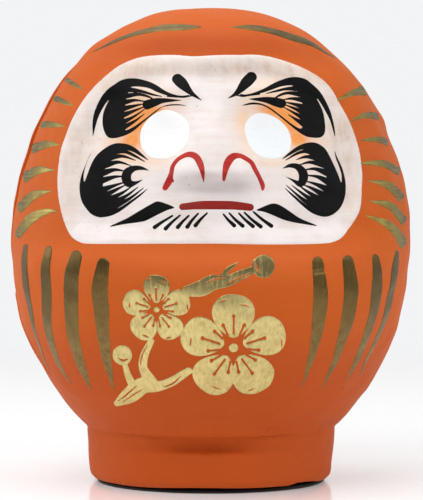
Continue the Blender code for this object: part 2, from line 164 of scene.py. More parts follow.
@dataclass(frozen=True)
class DollForm:
    """The outside of the doll as a function of the angle round it and the height.

    The head is a superellipse and the belly an ellipse, both turned about Z; the foot is a short
    taper. The front carries the pressed-in face, the nose, the ledge and the sag over the foot.
    """

    height: float = 150.0
    belly_radius: float = 62.4
    belly_height: float = 77.0
    belly_drop: float = 74.0
    head_power: float = 2.1
    foot_height: float = 20.0
    foot_top_radius: float = 38.9
    foot_rim_radius: float = 37.8
    rim_height: float = 2.75
    crease_softness: float = 0.22
    centre: float = 0.8
    unevenness: float = 0.16

    def radius(self, z: Array) -> Array:
        """The turned body's radius at a height.

        Above the belly it is A (1 - t^n)^(1/n), drawn in a little round the face, and below it
        A sqrt(1 - t^2). The foot is a taper with a groove under the crease and a rolled rim, and
        the larger of the two shows, eased into each other over the crease.

        Args:
            z: height on the turned body.

        Returns:
            The radius at each height.
        """
        z = np.asarray(z, float)
        rise = np.clip((z - self.belly_height) / (self.height - self.belly_height), 0, 1)
        upper = np.clip(1 - rise**self.head_power, 0, 1) ** (1 / self.head_power)
        drop = np.clip((self.belly_height - z) / self.belly_drop, 0, 1)
        lower = np.sqrt(np.clip(1 - drop**2, 0, 1))
        body = self.belly_radius * np.where(z >= self.belly_height, upper, lower)
        body = body - 0.8 * np.exp(-(((z - 105.0) / 16.0) ** 2))
        share = np.clip((z - self.rim_height) / (self.foot_height - self.rim_height), 0, 1.5)
        foot = self.foot_rim_radius + (self.foot_top_radius - self.foot_rim_radius) * share
        foot = foot - 0.3 * np.exp(-(((z - self.foot_height + 0.5) / 1.1) ** 2))
        foot = foot - 1.5 * np.clip((self.rim_height + 2.0 - z) / 2.0, 0, 1.1) ** 2
        soft = self.crease_softness
        gap = (body - foot) / soft
        blended = foot + soft * np.logaddexp(0.0, np.clip(gap, -60, 60))
        return np.where(z > 60, body, np.where(gap > 50, body, blended))

    def turned_normal(self, radius: Array, z: Array) -> tuple[Array, Array]:
        """Outward direction of the turned body, as its radial and upright parts.

        Args:
            radius: the turned body's radius.
            z: height on the turned body.

        Returns:
            How far the direction points out and up, as two parts of a length of 1.
        """
        rise = np.clip((z - self.belly_height) / (self.height - self.belly_height), 0, 1)
        across = np.clip(radius / self.belly_radius, 0, 1)
        power = self.head_power - 1
        high = (across**power / self.belly_radius, rise**power / (self.height - self.belly_height))
        fall = (z - self.belly_height) / self.belly_drop
        low = (across / self.belly_radius, fall / self.belly_drop)
        above = z >= self.belly_height
        out = np.where(above, high[0], low[0])
        up = np.where(above, high[1], low[1])
        up = np.where(z < self.foot_height, 0.0, up)
        size = np.maximum(np.hypot(out, up), 1e-9)
        return out / size, up / size

    def face_depth(self, x: Array, z: Array) -> Array:
        """Distance inside the pressed-in face, whose halves mirror."""
        outline = FACE_HALF + [(-fx, fz) for fx, fz in FACE_HALF[-2:0:-1]]
        return loop_depth(x, z, np.array(outline))

    def relief(self, x: Array, z: Array, facing: Array) -> Array:
        """How far the front stands out along -Y.

        The face is pressed in by an eased step; the nose is a ridge that rises downwards; the
        nostril wings, lips, brow ridges, eye hollows, ledge and sag are bells added to it.

        Args:
            x: across the doll.
            z: height.
            facing: 1 at the front and 0 at the sides.

        Returns:
            The distance at each place.
        """
        side, middle = np.abs(x), x - self.centre
        stands = -3.0 * ease(self.face_depth(x, z) / 7.0)
        nose_width = 4.5 + 4.5 * ease((118.0 - z) / 20.0)
        nose_rise = 6.0 * ease((124.0 - z) / 26.0) * ease((z - 90.0) / 6.5)
        stands = stands + nose_rise * np.exp(-((middle / nose_width) ** 2))
        stands += 2.2 * mound(np.abs(middle), z, (9.0, 96.5), (4.0, 4.2))  # nostril wings
        stands += 2.2 * mound(middle, z, (0.0, 84.5), (20.0, 7.5))  # lips
        stands += 1.2 * mound(side, z, (18.0, 121.0), (14.0, 4.0))  # brow ridges
        stands -= 1.2 * mound(side, z, (15.0, 108.0), (9.0, 8.0))  # eye hollows
        above_ledge = z - 69.0 - 4.0 * (x / self.belly_radius) ** 2
        spread = np.where(above_ledge > 0, 6.0, 20.0)
        stands += 2.8 * np.exp(-((above_ledge / spread) ** 2)) * ease(facing / 0.6)
        beside = 1.0 - 0.8 * np.exp(-(((x + 2.0) / 20.0) ** 2))
        stands -= 1.5 * beside * np.exp(-(((z - self.foot_height - 0.4) / 1.7) ** 2))
        lip = self.foot_height - 0.8
        stands += 3.0 * mound(x, z, (-2.0, lip), (24.0, 3.2)) * ease((z - lip + 0.8) / 0.8)
        under = np.where(z > 15.0, 3.0, 1.2)
        stands -= 2.4 * mound(x, z, (-2.0, 15.0), (22.0, under)) * ease((lip - z) / 0.8)
        return stands * ease(facing / 0.35)

    def lumps(self, x: Array, y: Array, z: Array) -> Array:
        """The paper's hand-laid unevenness: waves of several lengths in fixed directions.

        Args:
            x: across the doll.
            y: from front to back.
            z: height.

        Returns:
            How far each place stands out.
        """
        draw = np.random.default_rng(11)
        total = np.zeros(np.broadcast(x, y, z).shape)
        for length, size in ((46, 1.0), (31, 0.75), (22, 0.5), (15, 0.36), (10, 0.24), (6.5, 0.14)):
            for _ in range(3):
                way = draw.normal(size=3)
                way *= math.tau / length / np.linalg.norm(way)
                shift = draw.uniform(0, math.tau)
                total += size * np.sin(way[0] * x + way[1] * y + way[2] * z + shift)
        return total * self.unevenness

    def marks(self, turn: Array, z: Array) -> Array:
        """Hand-made marks: uneven shoulders and flanks, a pasted edge, a crease and a pit.

        Args:
            turn: angle from the front, in radians, up to half a turn to either side.
            z: height on the turned body.

        Returns:
            How far each place stands out.
        """
        along = turn * self.belly_radius
        shoulder = 0.7 * mound(along, z, (92.0, 114.5), (7.0, 3.2))
        shoulder = shoulder - 0.9 * mound(along, z, (-92.0, 106.0), (30.0, 24.0))
        shoulder = shoulder + 0.8 * mound(along, z, (-92.0, 139.0), (34.0, 7.0))
        shoulder = shoulder + 0.8 * mound(along, z, (-92.0, 47.0), (24.0, 11.0))
        shoulder = shoulder + 0.6 * mound(along, z, (92.0, 51.0), (24.0, 11.0))
        lap = np.array([(-90.0, 60, 0.1), (-88.0, 54, 0.1), (-82.0, 43.8, 0.1), (-76.0, 36.5, 0.1)])
        pasted = 0.5 * ease((stroke_depth(along, z, lap) + 1.5) / 1.5)
        crease_line = np.array([(27.0, 67.9, 0.1), (32.0, 67.6, 0.1), (38.0, 68.6, 0.1)])
        crease = -0.22 * ease((stroke_depth(along, z, crease_line) + 0.9) / 0.9)
        pit = -0.5 * mound(along, z, (-2.6, 13.6), (1.2, 0.7))
        return shoulder + pasted + crease + pit

    def point(self, turn: Array, z: Array, lift: Array | float = 0.0) -> Array:
        """Places on the surface, and a little off it.

        The turned point is moved along -Y by the relief, out along the turned normal by the lumps,
        and then along the finished surface's own normal by the lift.

        Args:
            turn: angle from the front, in radians, positive towards +X.
            z: height on the turned body.
            lift: how far off the surface.

        Returns:
            x, y and z in the last axis.
        """
        bare = self._bare(turn, z)
        if np.isscalar(lift) and lift == 0.0:
            return bare
        step = 0.05
        across = self._bare(turn + step / self.belly_radius, z)
        across = across - self._bare(turn - step / self.belly_radius, z)
        upward = self._bare(turn, z + step) - self._bare(turn, z - step)
        normal = np.cross(across, upward)
        normal /= np.maximum(np.linalg.norm(normal, axis=-1, keepdims=True), 1e-12)
        return bare + normal * np.asarray(lift)[..., None]

    def _bare(self, turn: Array, z: Array) -> Array:
        """Places on the surface itself.

        Args:
            turn: angle from the front, in radians.
            z: height on the turned body.

        Returns:
            x, y and z in the last axis.
        """
        radius = self.radius(z)
        x, y = radius * np.sin(turn), -radius * np.cos(turn)
        facing = np.cos(turn)
        front = np.where(facing > 0, self.relief(x, z, np.maximum(facing, 0)), 0.0)
        out, up = self.turned_normal(radius, z)
        bump = self.lumps(x, y, z) * ease((radius - 4.0) / 10.0 + 0.5) + self.marks(turn, z)
        bump = bump * np.where(z > 30, 1.0, 0.6)
        height = z + bump * up - FOOT_TRIM
        place = [x + bump * out * np.sin(turn), y - front - bump * out * np.cos(turn), height]
        return np.stack(place, axis=-1)

    def turn_of(self, x: Array, z: Array) -> Array:
        """The angle at which a place seen from the front lies."""
        return np.arcsin(np.clip(x / self.radius(z), -0.999, 0.999))

    def rim(self, turn: Array) -> Array:
        """Height of the cut lower edge of the paper, with a chipped stretch at the right.

        Args:
            turn: angle from the front, in radians.

        Returns:
            The height at each angle.
        """
        wave = 0.4 * np.cos(turn) ** 2 + 0.16 * np.sin(3 * turn + 1.0) + 0.10 * np.sin(7 * turn + 2.4)
        chip = 0.75 * ease((turn - 0.66) / 0.12) * ease((1.25 - turn) / 0.35)
        return self.rim_height + 0.2 + wave + chip


# ---------------------------------------------------------------- meshes from grids


def grid_faces(rows: int, columns: int) -> Array:
    """The four-cornered faces of a grid of points stored row by row."""
    corner = (np.arange(rows - 1)[:, None] * columns + np.arange(columns - 1)[None, :]).ravel()
    return np.stack([corner, corner + 1, corner + columns + 1, corner + columns], axis=1)


def make_piece(name: str, points: Array, faces: Array, weld: float = 0.004) -> bpy.types.Object:
    """A mesh object from points in millimetres and faces.

    Args:
        name: the piece's name.
        points: one row of x, y, z for each point.
        faces: one row of point numbers for each face.
        weld: points closer than this are joined, in millimetres.

    Returns:
        The object, shaded smooth.
    """
    mesh = bpy.data.meshes.new(name)
    mesh.vertices.add(len(points))
    mesh.vertices.foreach_set("co", (points * MM).astype(np.float32).ravel())
    sides = faces.shape[1]
    mesh.loops.add(faces.size)
    mesh.loops.foreach_set("vertex_index", faces.astype(np.int32).ravel())
    mesh.polygons.add(len(faces))
    mesh.polygons.foreach_set("loop_start", np.arange(0, faces.size, sides, dtype=np.int32))
    mesh.update(calc_edges=True)
    bm = bmesh.new()
    bm.from_mesh(mesh)
    bmesh.ops.remove_doubles(bm, verts=bm.verts, dist=weld * MM)
    bmesh.ops.dissolve_degenerate(bm, edges=bm.edges, dist=weld * MM * 0.5)
    loose = [vertex for vertex in bm.verts if not vertex.link_faces]
    bmesh.ops.delete(bm, geom=loose, context="VERTS")
    bm.to_mesh(mesh)
    bm.free()
    mesh.shade_smooth()
    piece = bpy.data.objects.new(name, mesh)
    bpy.context.scene.collection.objects.link(piece)
    return piece


def thicken(piece: bpy.types.Object, thickness: float) -> None:
    """Gives an open sheet a wall on its inner side, in millimetres, with sharp edges at its rim.

    Args:
        piece: the open sheet, whose faces look outward.
        thickness: how thick the wall is.
    """
    wall = piece.modifiers.new("wall", "SOLIDIFY")
    wall.thickness = thickness * MM
    wall.offset = -1.0
    wall.use_even_offset = False
    bpy.context.view_layer.update()
    graph = bpy.context.evaluated_depsgraph_get()
    sheet, piece.data = piece.data, bpy.data.meshes.new_from_object(piece.evaluated_get(graph))
    piece.modifiers.clear()
    bpy.data.meshes.remove(sheet)
    piece.data.set_sharp_from_angle(angle=math.radians(55))


def settle(piece: bpy.types.Object, finish: bpy.types.Material, node: str) -> None:
    """Dresses a piece, hangs it on the body and hides the CAD node that it stands in for.

    Args:
        piece: the finished piece.
        finish: its material.
        node: the CAD node that it replaces.
    """
    piece.data.materials.clear()
    piece.data.materials.append(finish)
    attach(piece, BODY)
    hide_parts(node)
    log.info("%s: %d faces in place of %s", piece.name, len(piece.data.polygons), node)


# ---------------------------------------------------------------- shader maths


class Wire:
    """One output in a material, on which +, -, * and / add the nodes that they need."""

    def __init__(self, bench: "NodeBoard", socket: bpy.types.NodeSocket) -> None:
        """Keeps the socket and the material that it is in."""
        self.bench = bench
        self.socket = socket

    def _math(self, operation: str, *values: Any, clamp: bool = False) -> "Wire":
        """The result of a Math node.

        Args:
            operation: the node's operation.
            values: what goes into its sockets, in order.
            clamp: whether the result is kept between 0 and 1.

        Returns:
            The node's output.
        """
        settings = {"operation": operation, "use_clamp": clamp}
        made = self.bench.node("ShaderNodeMath", settings, dict(enumerate(values)))
        return Wire(self.bench, made.outputs[0])

    def __add__(self, other: Any) -> "Wire":
        """This plus another."""
        return self._math("ADD", self, other)

    __radd__ = __add__

    def __sub__(self, other: Any) -> "Wire":
        """This less another."""
        return self._math("SUBTRACT", self, other)

    def __rsub__(self, other: Any) -> "Wire":
        """Another less this."""
        return self._math("SUBTRACT", other, self)

    def __mul__(self, other: Any) -> "Wire":
        """This times another."""
        return self._math("MULTIPLY", self, other)

    __rmul__ = __mul__

    def __truediv__(self, other: Any) -> "Wire":
        """This divided by another."""
        return self._math("DIVIDE", self, other)

    def __rtruediv__(self, other: Any) -> "Wire":
        """Another divided by this."""
        return self._math("DIVIDE", other, self)

    def __neg__(self) -> "Wire":
        """This with its sign turned."""
        return self._math("MULTIPLY", self, -1.0)

    def held(self) -> "Wire":
        """This kept between 0 and 1."""
        return self._math("ADD", self, 0.0, clamp=True)

    def size(self) -> "Wire":
        """This without its sign."""
        return self._math("ABSOLUTE", self)

    def exp(self) -> "Wire":
        """e to the power of this."""
        return self._math("EXPONENT", self)

    def step(self, low: float, high: float) -> "Wire":
        """0 where this is low, 1 where it is high, and smooth between.

        Args:
            low: where the step starts.
            high: where it ends, which may be the lower of the two.

        Returns:
            The step, from 0 to 1.
        """
        settings = {"interpolation_type": "SMOOTHSTEP"}
        inputs = {"Value": self, "From Min": low, "From Max": high}
        made = self.bench.node("ShaderNodeMapRange", settings, inputs)
        return Wire(self.bench, made.outputs[0])


class NodeBoard:
    """A node tree, emptied, to which any node can be added."""

    def __init__(self, tree: bpy.types.NodeTree) -> None:
        """Empties the tree and keeps it."""
        self.tree = tree
        self.tree.nodes.clear()

    def node(self, kind: str, settings: dict[str, Any], inputs: dict[Any, Any]) -> bpy.types.Node:
        """Adds a node.

        Args:
            kind: the node's type.
            settings: its own values, set before its sockets.
            inputs: values or wires for its sockets, by name or number.

        Returns:
            The node.
        """
        made = self.tree.nodes.new(kind)
        for key, value in settings.items():
            setattr(made, key, value)
        for key, value in inputs.items():
            if isinstance(value, Wire):
                self.tree.links.new(value.socket, made.inputs[key])
            else:
                made.inputs[key].default_value = value
        return made


class Bench(NodeBoard):
    """A material's node tree, with methods for the common nodes."""

    def __init__(self, name: str) -> None:
        """Makes the material, with a Principled shader and nothing else.

        Args:
            name: the material's name.
        """
        self.material = bpy.data.materials.new(name)
        self.material.use_nodes = True
        super().__init__(self.material.node_tree)
        self.shader = self.node("ShaderNodeBsdfPrincipled", {}, {})
        surface = Wire(self, self.shader.outputs[0])
        self.output = self.node("ShaderNodeOutputMaterial", {}, {"Surface": surface})
        place = self.node("ShaderNodeTexCoord", {}, {})
        scaled = {"operation": "SCALE"}
        inputs = {0: Wire(self, place.outputs["Object"]), "Scale": 1 / MM}
        self.place = Wire(self, self.node("ShaderNodeVectorMath", scaled, inputs).outputs[0])
        parts = self.node("ShaderNodeSeparateXYZ", {}, {0: self.place})
        self.x, self.y, height = (Wire(self, out) for out in parts.outputs)
        self.z = height + FOOT_TRIM

    def stretch(self, scale: Sequence[float], turn: Sequence[float] = (0, 0, 0)) -> Wire:
        """The place on the piece in millimetres, turned and then scaled on each axis."""
        inputs = {"Vector": self.place, "Rotation": turn, "Scale": scale}
        return Wire(self, self.node("ShaderNodeMapping", {}, inputs).outputs[0])

    def noise(self, length: float, detail: float = 2.0, rough: float = 0.5, at: Wire | None = None) -> Wire:
        """Cloudy values from 0 to 1 whose patches are about length millimetres across.

        Args:
            length: rough size of a patch.
            detail: how many finer layers are added.
            rough: how strong the finer layers are.
            at: the place that it is read at, or the place on the piece if none is given.

        Returns:
            The values.
        """
        inputs = {"Scale": 1 / length, "Detail": detail, "Roughness": rough}
        inputs["Vector"] = at or self.place
        return Wire(self, self.node("ShaderNodeTexNoise", {}, inputs).outputs[0])

    def blend(self, share: Any, first: Any, second: Any) -> Wire:
        """A colour that goes from the first to the second as share goes from 0 to 1."""
        inputs = {0: share, 6: colour_value(first), 7: colour_value(second)}
        return Wire(self, self.node("ShaderNodeMix", {"data_type": "RGBA"}, inputs).outputs[2])

    def patch(self, centre: Point, spread: Point) -> Wire:
        """A soft round patch on the front: a bell about a centre, in millimetres.

        Args:
            centre: x and z of the patch's middle.
            spread: its half width and half height.

        Returns:
            1 in the middle and 0 far from it.
        """
        across = (self.x - centre[0]) / spread[0]
        up = (self.z - centre[1]) / spread[1]
        return (-(across * across + up * up)).exp()

    def bump(self, height: Wire, depth: float) -> Wire:
        """A surface direction from a height from 0 to 1, depth in millimetres."""
        inputs = {"Strength": 1.0, "Distance": depth * MM, "Height": height}
        return Wire(self, self.node("ShaderNodeBump", {}, inputs).outputs[0])

    def finish(self, **sockets: Any) -> bpy.types.Material:
        """Sets the shader's sockets, with _ for a space in their names, and gives the material.

        Args:
            sockets: values or wires for the sockets.

        Returns:
            The material.
        """
        for key, value in sockets.items():
            target = self.shader.inputs[key.replace("_", " ")]
            if isinstance(value, Wire):
                self.tree.links.new(value.socket, target)
            else:
                target.default_value = value
        return self.material


def linear(red: float, green: float, blue: float) -> tuple[float, float, float, float]:
    """A colour given as screen values from 0 to 255, as light.

    Args:
        red: from 0 to 255.
        green: from 0 to 255.
        blue: from 0 to 255.

    Returns:
        Red, green and blue as light, and 1.
    """
    parts = np.array([red, green, blue]) / 255
    light = np.where(parts <= 0.04045, parts / 12.92, ((parts + 0.055) / 1.055) ** 2.4)
    return (*(float(part) for part in light), 1.0)


def colour_value(value: Any) -> Any:
    """A colour for a socket, from screen values or a wire."""
    return value if isinstance(value, Wire) else linear(*value)


@dataclass(frozen=True)
class OrangePaint:
    """Matt orange paint brushed over rough paper, with painted shade low down and above the face and a
    painted highlight on the ledge.
    """

    name: str = "orange_paint"
    colour: Colour = (205, 93, 28)
    light: Colour = (220, 107, 37)
    deep: Colour = (188, 77, 21)
    # painted shade: the darker orange low down and on the hood band above the face
    painted_shade: Colour = (180, 75, 20)
    # painted highlight on the ledge under the face
    painted_highlight: Colour = (229, 112, 54)
    scuff: Colour = (226, 140, 84)
    smudge: Colour = (132, 62, 34)

    def build(self) -> bpy.types.Material:
        """The material: clouds of tone, brush lines, painted shade and highlight, a few smudges and a paper
        grain.

        Returns:
            The material.
        """
        bench = Bench(self.name)
        cloud = bench.noise(26, 3, 0.55)
        patchy = bench.noise(7, 4, 0.6)
        strokes = bench.noise(1, 3, 0.6, bench.stretch((0.035, 0.035, 0.9)))
        tone = (cloud * 0.5 + patchy * 0.22 + strokes * 0.28).step(0.36, 0.64)
        colour = bench.blend(tone, self.deep, self.light)
        colour = bench.blend((patchy - 0.5).size().step(0.0, 0.22) * 0.25, self.colour, colour)
        # Painted shade: the orange darkens from mid belly down towards the foot.
        colour = bench.blend(bench.z.step(64.0, 34.0) * 0.85, colour, self.painted_shade)
        front = bench.y.step(-5.0, -35.0)
        # Painted shade on the hood band just above the face.
        colour = bench.blend(bench.patch((0.0, 134.5), (44.0, 5.0)) * front * 0.8, colour, self.painted_shade)
        # Painted highlight on the up-facing ledge under the face.
        colour = bench.blend(bench.patch((0.0, 71.0), (46.0, 5.5)) * front * 0.7, colour, self.painted_highlight)
        spots = bench.noise(5.5, 2, 0.5).step(0.70, 0.80) * bench.noise(40, 1).step(0.46, 0.6)
        colour = bench.blend(spots * 0.35, colour, self.smudge)
        rubbed = bench.z.step(4.6, 3.0) * bench.noise(3.2, 3, 0.6).step(0.5, 0.75)
        colour = bench.blend(rubbed * 0.3, colour, self.scuff)
        grain = bench.noise(0.55, 3, 0.6) * 0.05 + bench.noise(2.6, 3, 0.55) * 0.12
        height = grain + strokes * 0.07 + bench.noise(12, 2, 0.5) * 0.76
        return bench.finish(
            Base_Color=colour,
            Roughness=0.60 + patchy * 0.16 - strokes * 0.06,
            Specular_IOR_Level=0.15,
            Sheen_Weight=0.07,
            Sheen_Roughness=0.4,
            Sheen_Tint=linear(255, 200, 130),
            Normal=bench.bump(height, 0.8),
        )


# Soft patches of colour on the face: x, z, half width, half height and strength.
BLUSH = [
    (-22.9, 105.6, 3.6, 2.7, 1.1), (-20.6, 110.4, 3.6, 2.6, 1.0), (-16.6, 114.2, 4.4, 2.1, 1.0),
    (-21.6, 112.6, 4.0, 3.2, 0.6), (25.4, 106.1, 3.6, 2.7, 1.1), (22.6, 110.6, 3.6, 2.6, 1.0),
    (17.6, 114.8, 4.6, 2.0, 1.0), (23.2, 113.2, 4.0, 3.0, 0.6), (-26.2, 102.6, 4.0, 1.5, 0.35),
]
PEACH = [
    (-21.0, 114.5, 6.5, 4.6, 0.85), (-20.0, 119.6, 7.0, 2.6, 0.45), (-26.0, 102.3, 4.8, 2.4, 0.85),
    (-28.8, 105.6, 4.0, 3.0, 0.45), (-17.0, 99.6, 6.0, 2.6, 0.45), (-25.0, 98.0, 5.0, 4.0, 0.3),
    (-11.0, 117.0, 5.0, 2.2, 0.3), (22.0, 115.0, 6.5, 4.6, 0.85), (21.0, 119.8, 7.0, 2.6, 0.45),
    (27.0, 101.8, 4.8, 2.6, 0.7), (31.0, 106.0, 4.0, 3.0, 0.4), (9.2, 111.5, 2.4, 4.2, 0.75),
    (10.0, 104.0, 2.8, 4.0, 0.35), (17.0, 99.4, 6.0, 2.2, 0.35), (27.0, 97.5, 5.0, 4.0, 0.25),
    (12.0, 118.5, 5.0, 2.4, 0.4), (17.0, 123.0, 6.0, 2.0, 0.3),
]
SMUDGES = [
    (14.0, 127.4, 20.0, 3.4, 1.0), (-20.0, 127.4, 11.0, 3.6, 0.85), (35.0, 113.0, 5.0, 9.0, 0.5),
    (39.0, 103.0, 4.6, 12.0, 0.9), (-37.5, 108.0, 5.0, 9.0, 0.5), (-40.5, 96.0, 4.6, 12.0, 0.7),
    (29.0, 125.0, 8.0, 4.0, 0.8), (-31.0, 123.0, 8.0, 4.5, 0.7), (5.5, 111.0, 3.5, 9.0, 0.3),
    (41.0, 88.0, 3.4, 7.0, 0.4), (-41.5, 86.0, 3.4, 6.0, 0.3), (20.0, 94.0, 6.0, 8.0, 0.25),
]
# Painted shade under the nose, in the same columns.
UNDER_NOSE_SHADE = [(2.0, 90.6, 10.0, 2.8, 0.4), (9.0, 92.0, 5.0, 3.0, 0.2)]


@dataclass(frozen=True)
class WhitePaint:
    """The face's warm white, with an orange blush sprayed beside the eyes and aged patches."""

    name: str = "white_paint"
    white: Colour = (244, 236, 234)
    warm: Colour = (235, 220, 213)
    aged: Colour = (214, 186, 164)
    peach: Colour = (250, 207, 168)
    blush: Colour = (246, 158, 80)
    # colour of the painted shade under the nose
    nose_shade: Colour = (196, 186, 184)

    def glow(self, bench: Bench, bells: Sequence[Sequence[float]]) -> Wire:
        """The sum of some soft patches, kept between 0 and 1.

        Args:
            bench: the material that they are added to.
            bells: x, z, half width, half height and strength of each patch.

        Returns:
            The sum.
        """
        total: Wire | float = 0.0
        for x, z, wide, tall, amount in bells:
            total = bench.patch((x, z), (wide, tall)) * amount + total
        return total.held()

    def build(self) -> bpy.types.Material:
        """The material: white with brushed streaks, then aged smudges, painted shade under the nose, peach
        and blush.

        Returns:
            The material.
        """
        bench = Bench(self.name)
        streaks = bench.noise(1, 3, 0.6, bench.stretch((0.05, 0.05, 0.55)))
        upright = bench.noise(1, 3, 0.65, bench.stretch((0.45, 0.45, 0.07)))
        clouds = bench.noise(9, 3, 0.6)
        colour = bench.blend((clouds * 0.6 + streaks * 0.5).step(0.42, 0.75), self.white, self.warm)
        worn = (bench.noise(5, 4, 0.68) * 0.55 + upright * 0.45).step(0.40, 0.66)
        colour = bench.blend((worn * 0.5 + 0.4) * self.glow(bench, SMUDGES), colour, self.aged)
        # Painted shade under the nose.
        colour = bench.blend(self.glow(bench, UNDER_NOSE_SHADE) * (0.7 + clouds * 0.5), colour, self.nose_shade)
        speckle = 0.75 + bench.noise(1.2, 3) * 0.5
        colour = bench.blend((self.glow(bench, PEACH) * speckle).held(), colour, self.peach)
        colour = bench.blend((self.glow(bench, BLUSH) * speckle).held(), colour, self.blush)
        dust = bench.noise(1.6, 2).step(0.70, 0.76) * bench.noise(14, 1).step(0.46, 0.6)
        colour = bench.blend(dust * 0.4, colour, (170, 150, 138))
        height = bench.noise(0.6, 3) * 0.3 + streaks * 0.4 + bench.noise(2.4, 3) * 0.3
        return bench.finish(
            Base_Color=colour,
            Roughness=0.58 + clouds * 0.12,
            Specular_IOR_Level=0.35,
            Normal=bench.bump(height, 0.12),
        )


@dataclass(frozen=True)
class BrushPaint:
    """One colour of glossy brushed paint, thinner and lighter along its bristle lines."""

    name: str
    colour: Colour
    thin: Colour
    roughness: float
    shine: float = 0.22
    streak: Triple = (0.25, 0.25, 0.9)

    def build(self) -> bpy.types.Material:
        """The material: two tones mixed by streaks and clouds, with a low ripple.

        Returns:
            The material.
        """
        bench = Bench(self.name)
        streaks = bench.noise(1, 3, 0.6, bench.stretch(self.streak))
        clouds = bench.noise(4, 2)
        colour = bench.blend((streaks * 0.6 + clouds * 0.4).step(0.45, 0.72), self.colour, self.thin)
        height = streaks * 0.6 + bench.noise(0.5, 2) * 0.4
        return bench.finish(
            Base_Color=colour,
            Roughness=self.roughness + clouds * 0.14,
            Specular_IOR_Level=self.shine,
            Normal=bench.bump(height, 0.05),
        )


@dataclass(frozen=True)
class GoldPaint:
    """Metallic gold paint, streaked by the bristles, with the paper's grain under it."""

    name: str
    colour: Colour
    dark: Colour
    streak: Triple
    wear: float
    # deep, high, rise and axis paint a dark reflection that grows along one axis
    deep: Colour = (92, 74, 38)
    high: float = 0.0
    rise: Point = (60.5, 64.5)
    axis: str = "z"
    turn: float = 0.0

    def build(self) -> bpy.types.Material:
        """The material: metal flake with streaks, darkened along one axis by a painted dark reflection
        where high is set.

        Returns:
            The material.
        """
        bench = Bench(self.name)
        at = bench.stretch(self.streak, (0.0, math.radians(self.turn), 0.0))
        streaks = bench.noise(1, 4, 0.62, at)
        clouds = bench.noise(3.2, 3, 0.6)
        mottled = bench.noise(1.1, 3, 0.6)
        tone = (streaks * 0.6 + clouds * 0.4).step(0.38, 0.68)
        colour = bench.blend(tone * self.wear, self.colour, self.dark)
        # Painted dark reflection: the gold darkens along the axis.
        if self.high:
            dark_reflection_reach = getattr(bench, self.axis).step(*self.rise)
            painted_dark_reflection = dark_reflection_reach * (1.1 - streaks).step(0.48, 0.62) * self.high
            colour = bench.blend(painted_dark_reflection, colour, self.deep)
        height = streaks * 0.65 + mottled * 0.35
        return bench.finish(
            Base_Color=colour,
            Metallic=0.94,
            Roughness=(0.28 + mottled * 0.2 + streaks * 0.1).held(),
            Normal=bench.bump(height, 0.09),
        )


@dataclass(frozen=True)
class DullBody:
    """A rough unpainted material, such as clay or board."""

    name: str
    colour: Colour
    dark: Colour
    grain: float

    def build(self) -> bpy.types.Material:
        """The material: two tones in patches over a coarse grain.

        Returns:
            The material.
        """
        bench = Bench(self.name)
        patches = bench.noise(6 * self.grain, 4, 0.6)
        fibres = bench.noise(self.grain, 3, 0.6, bench.stretch((1.0, 0.3, 1.0)))
        colour = bench.blend((patches * 0.7 + fibres * 0.3).step(0.35, 0.7), self.colour, self.dark)
        return bench.finish(
            Base_Color=colour,
            Roughness=0.82 + fibres * 0.12,
            Normal=bench.bump(fibres * 0.6 + patches * 0.4, 0.25),
        )


# ---------------------------------------------------------------- paper, board and clay


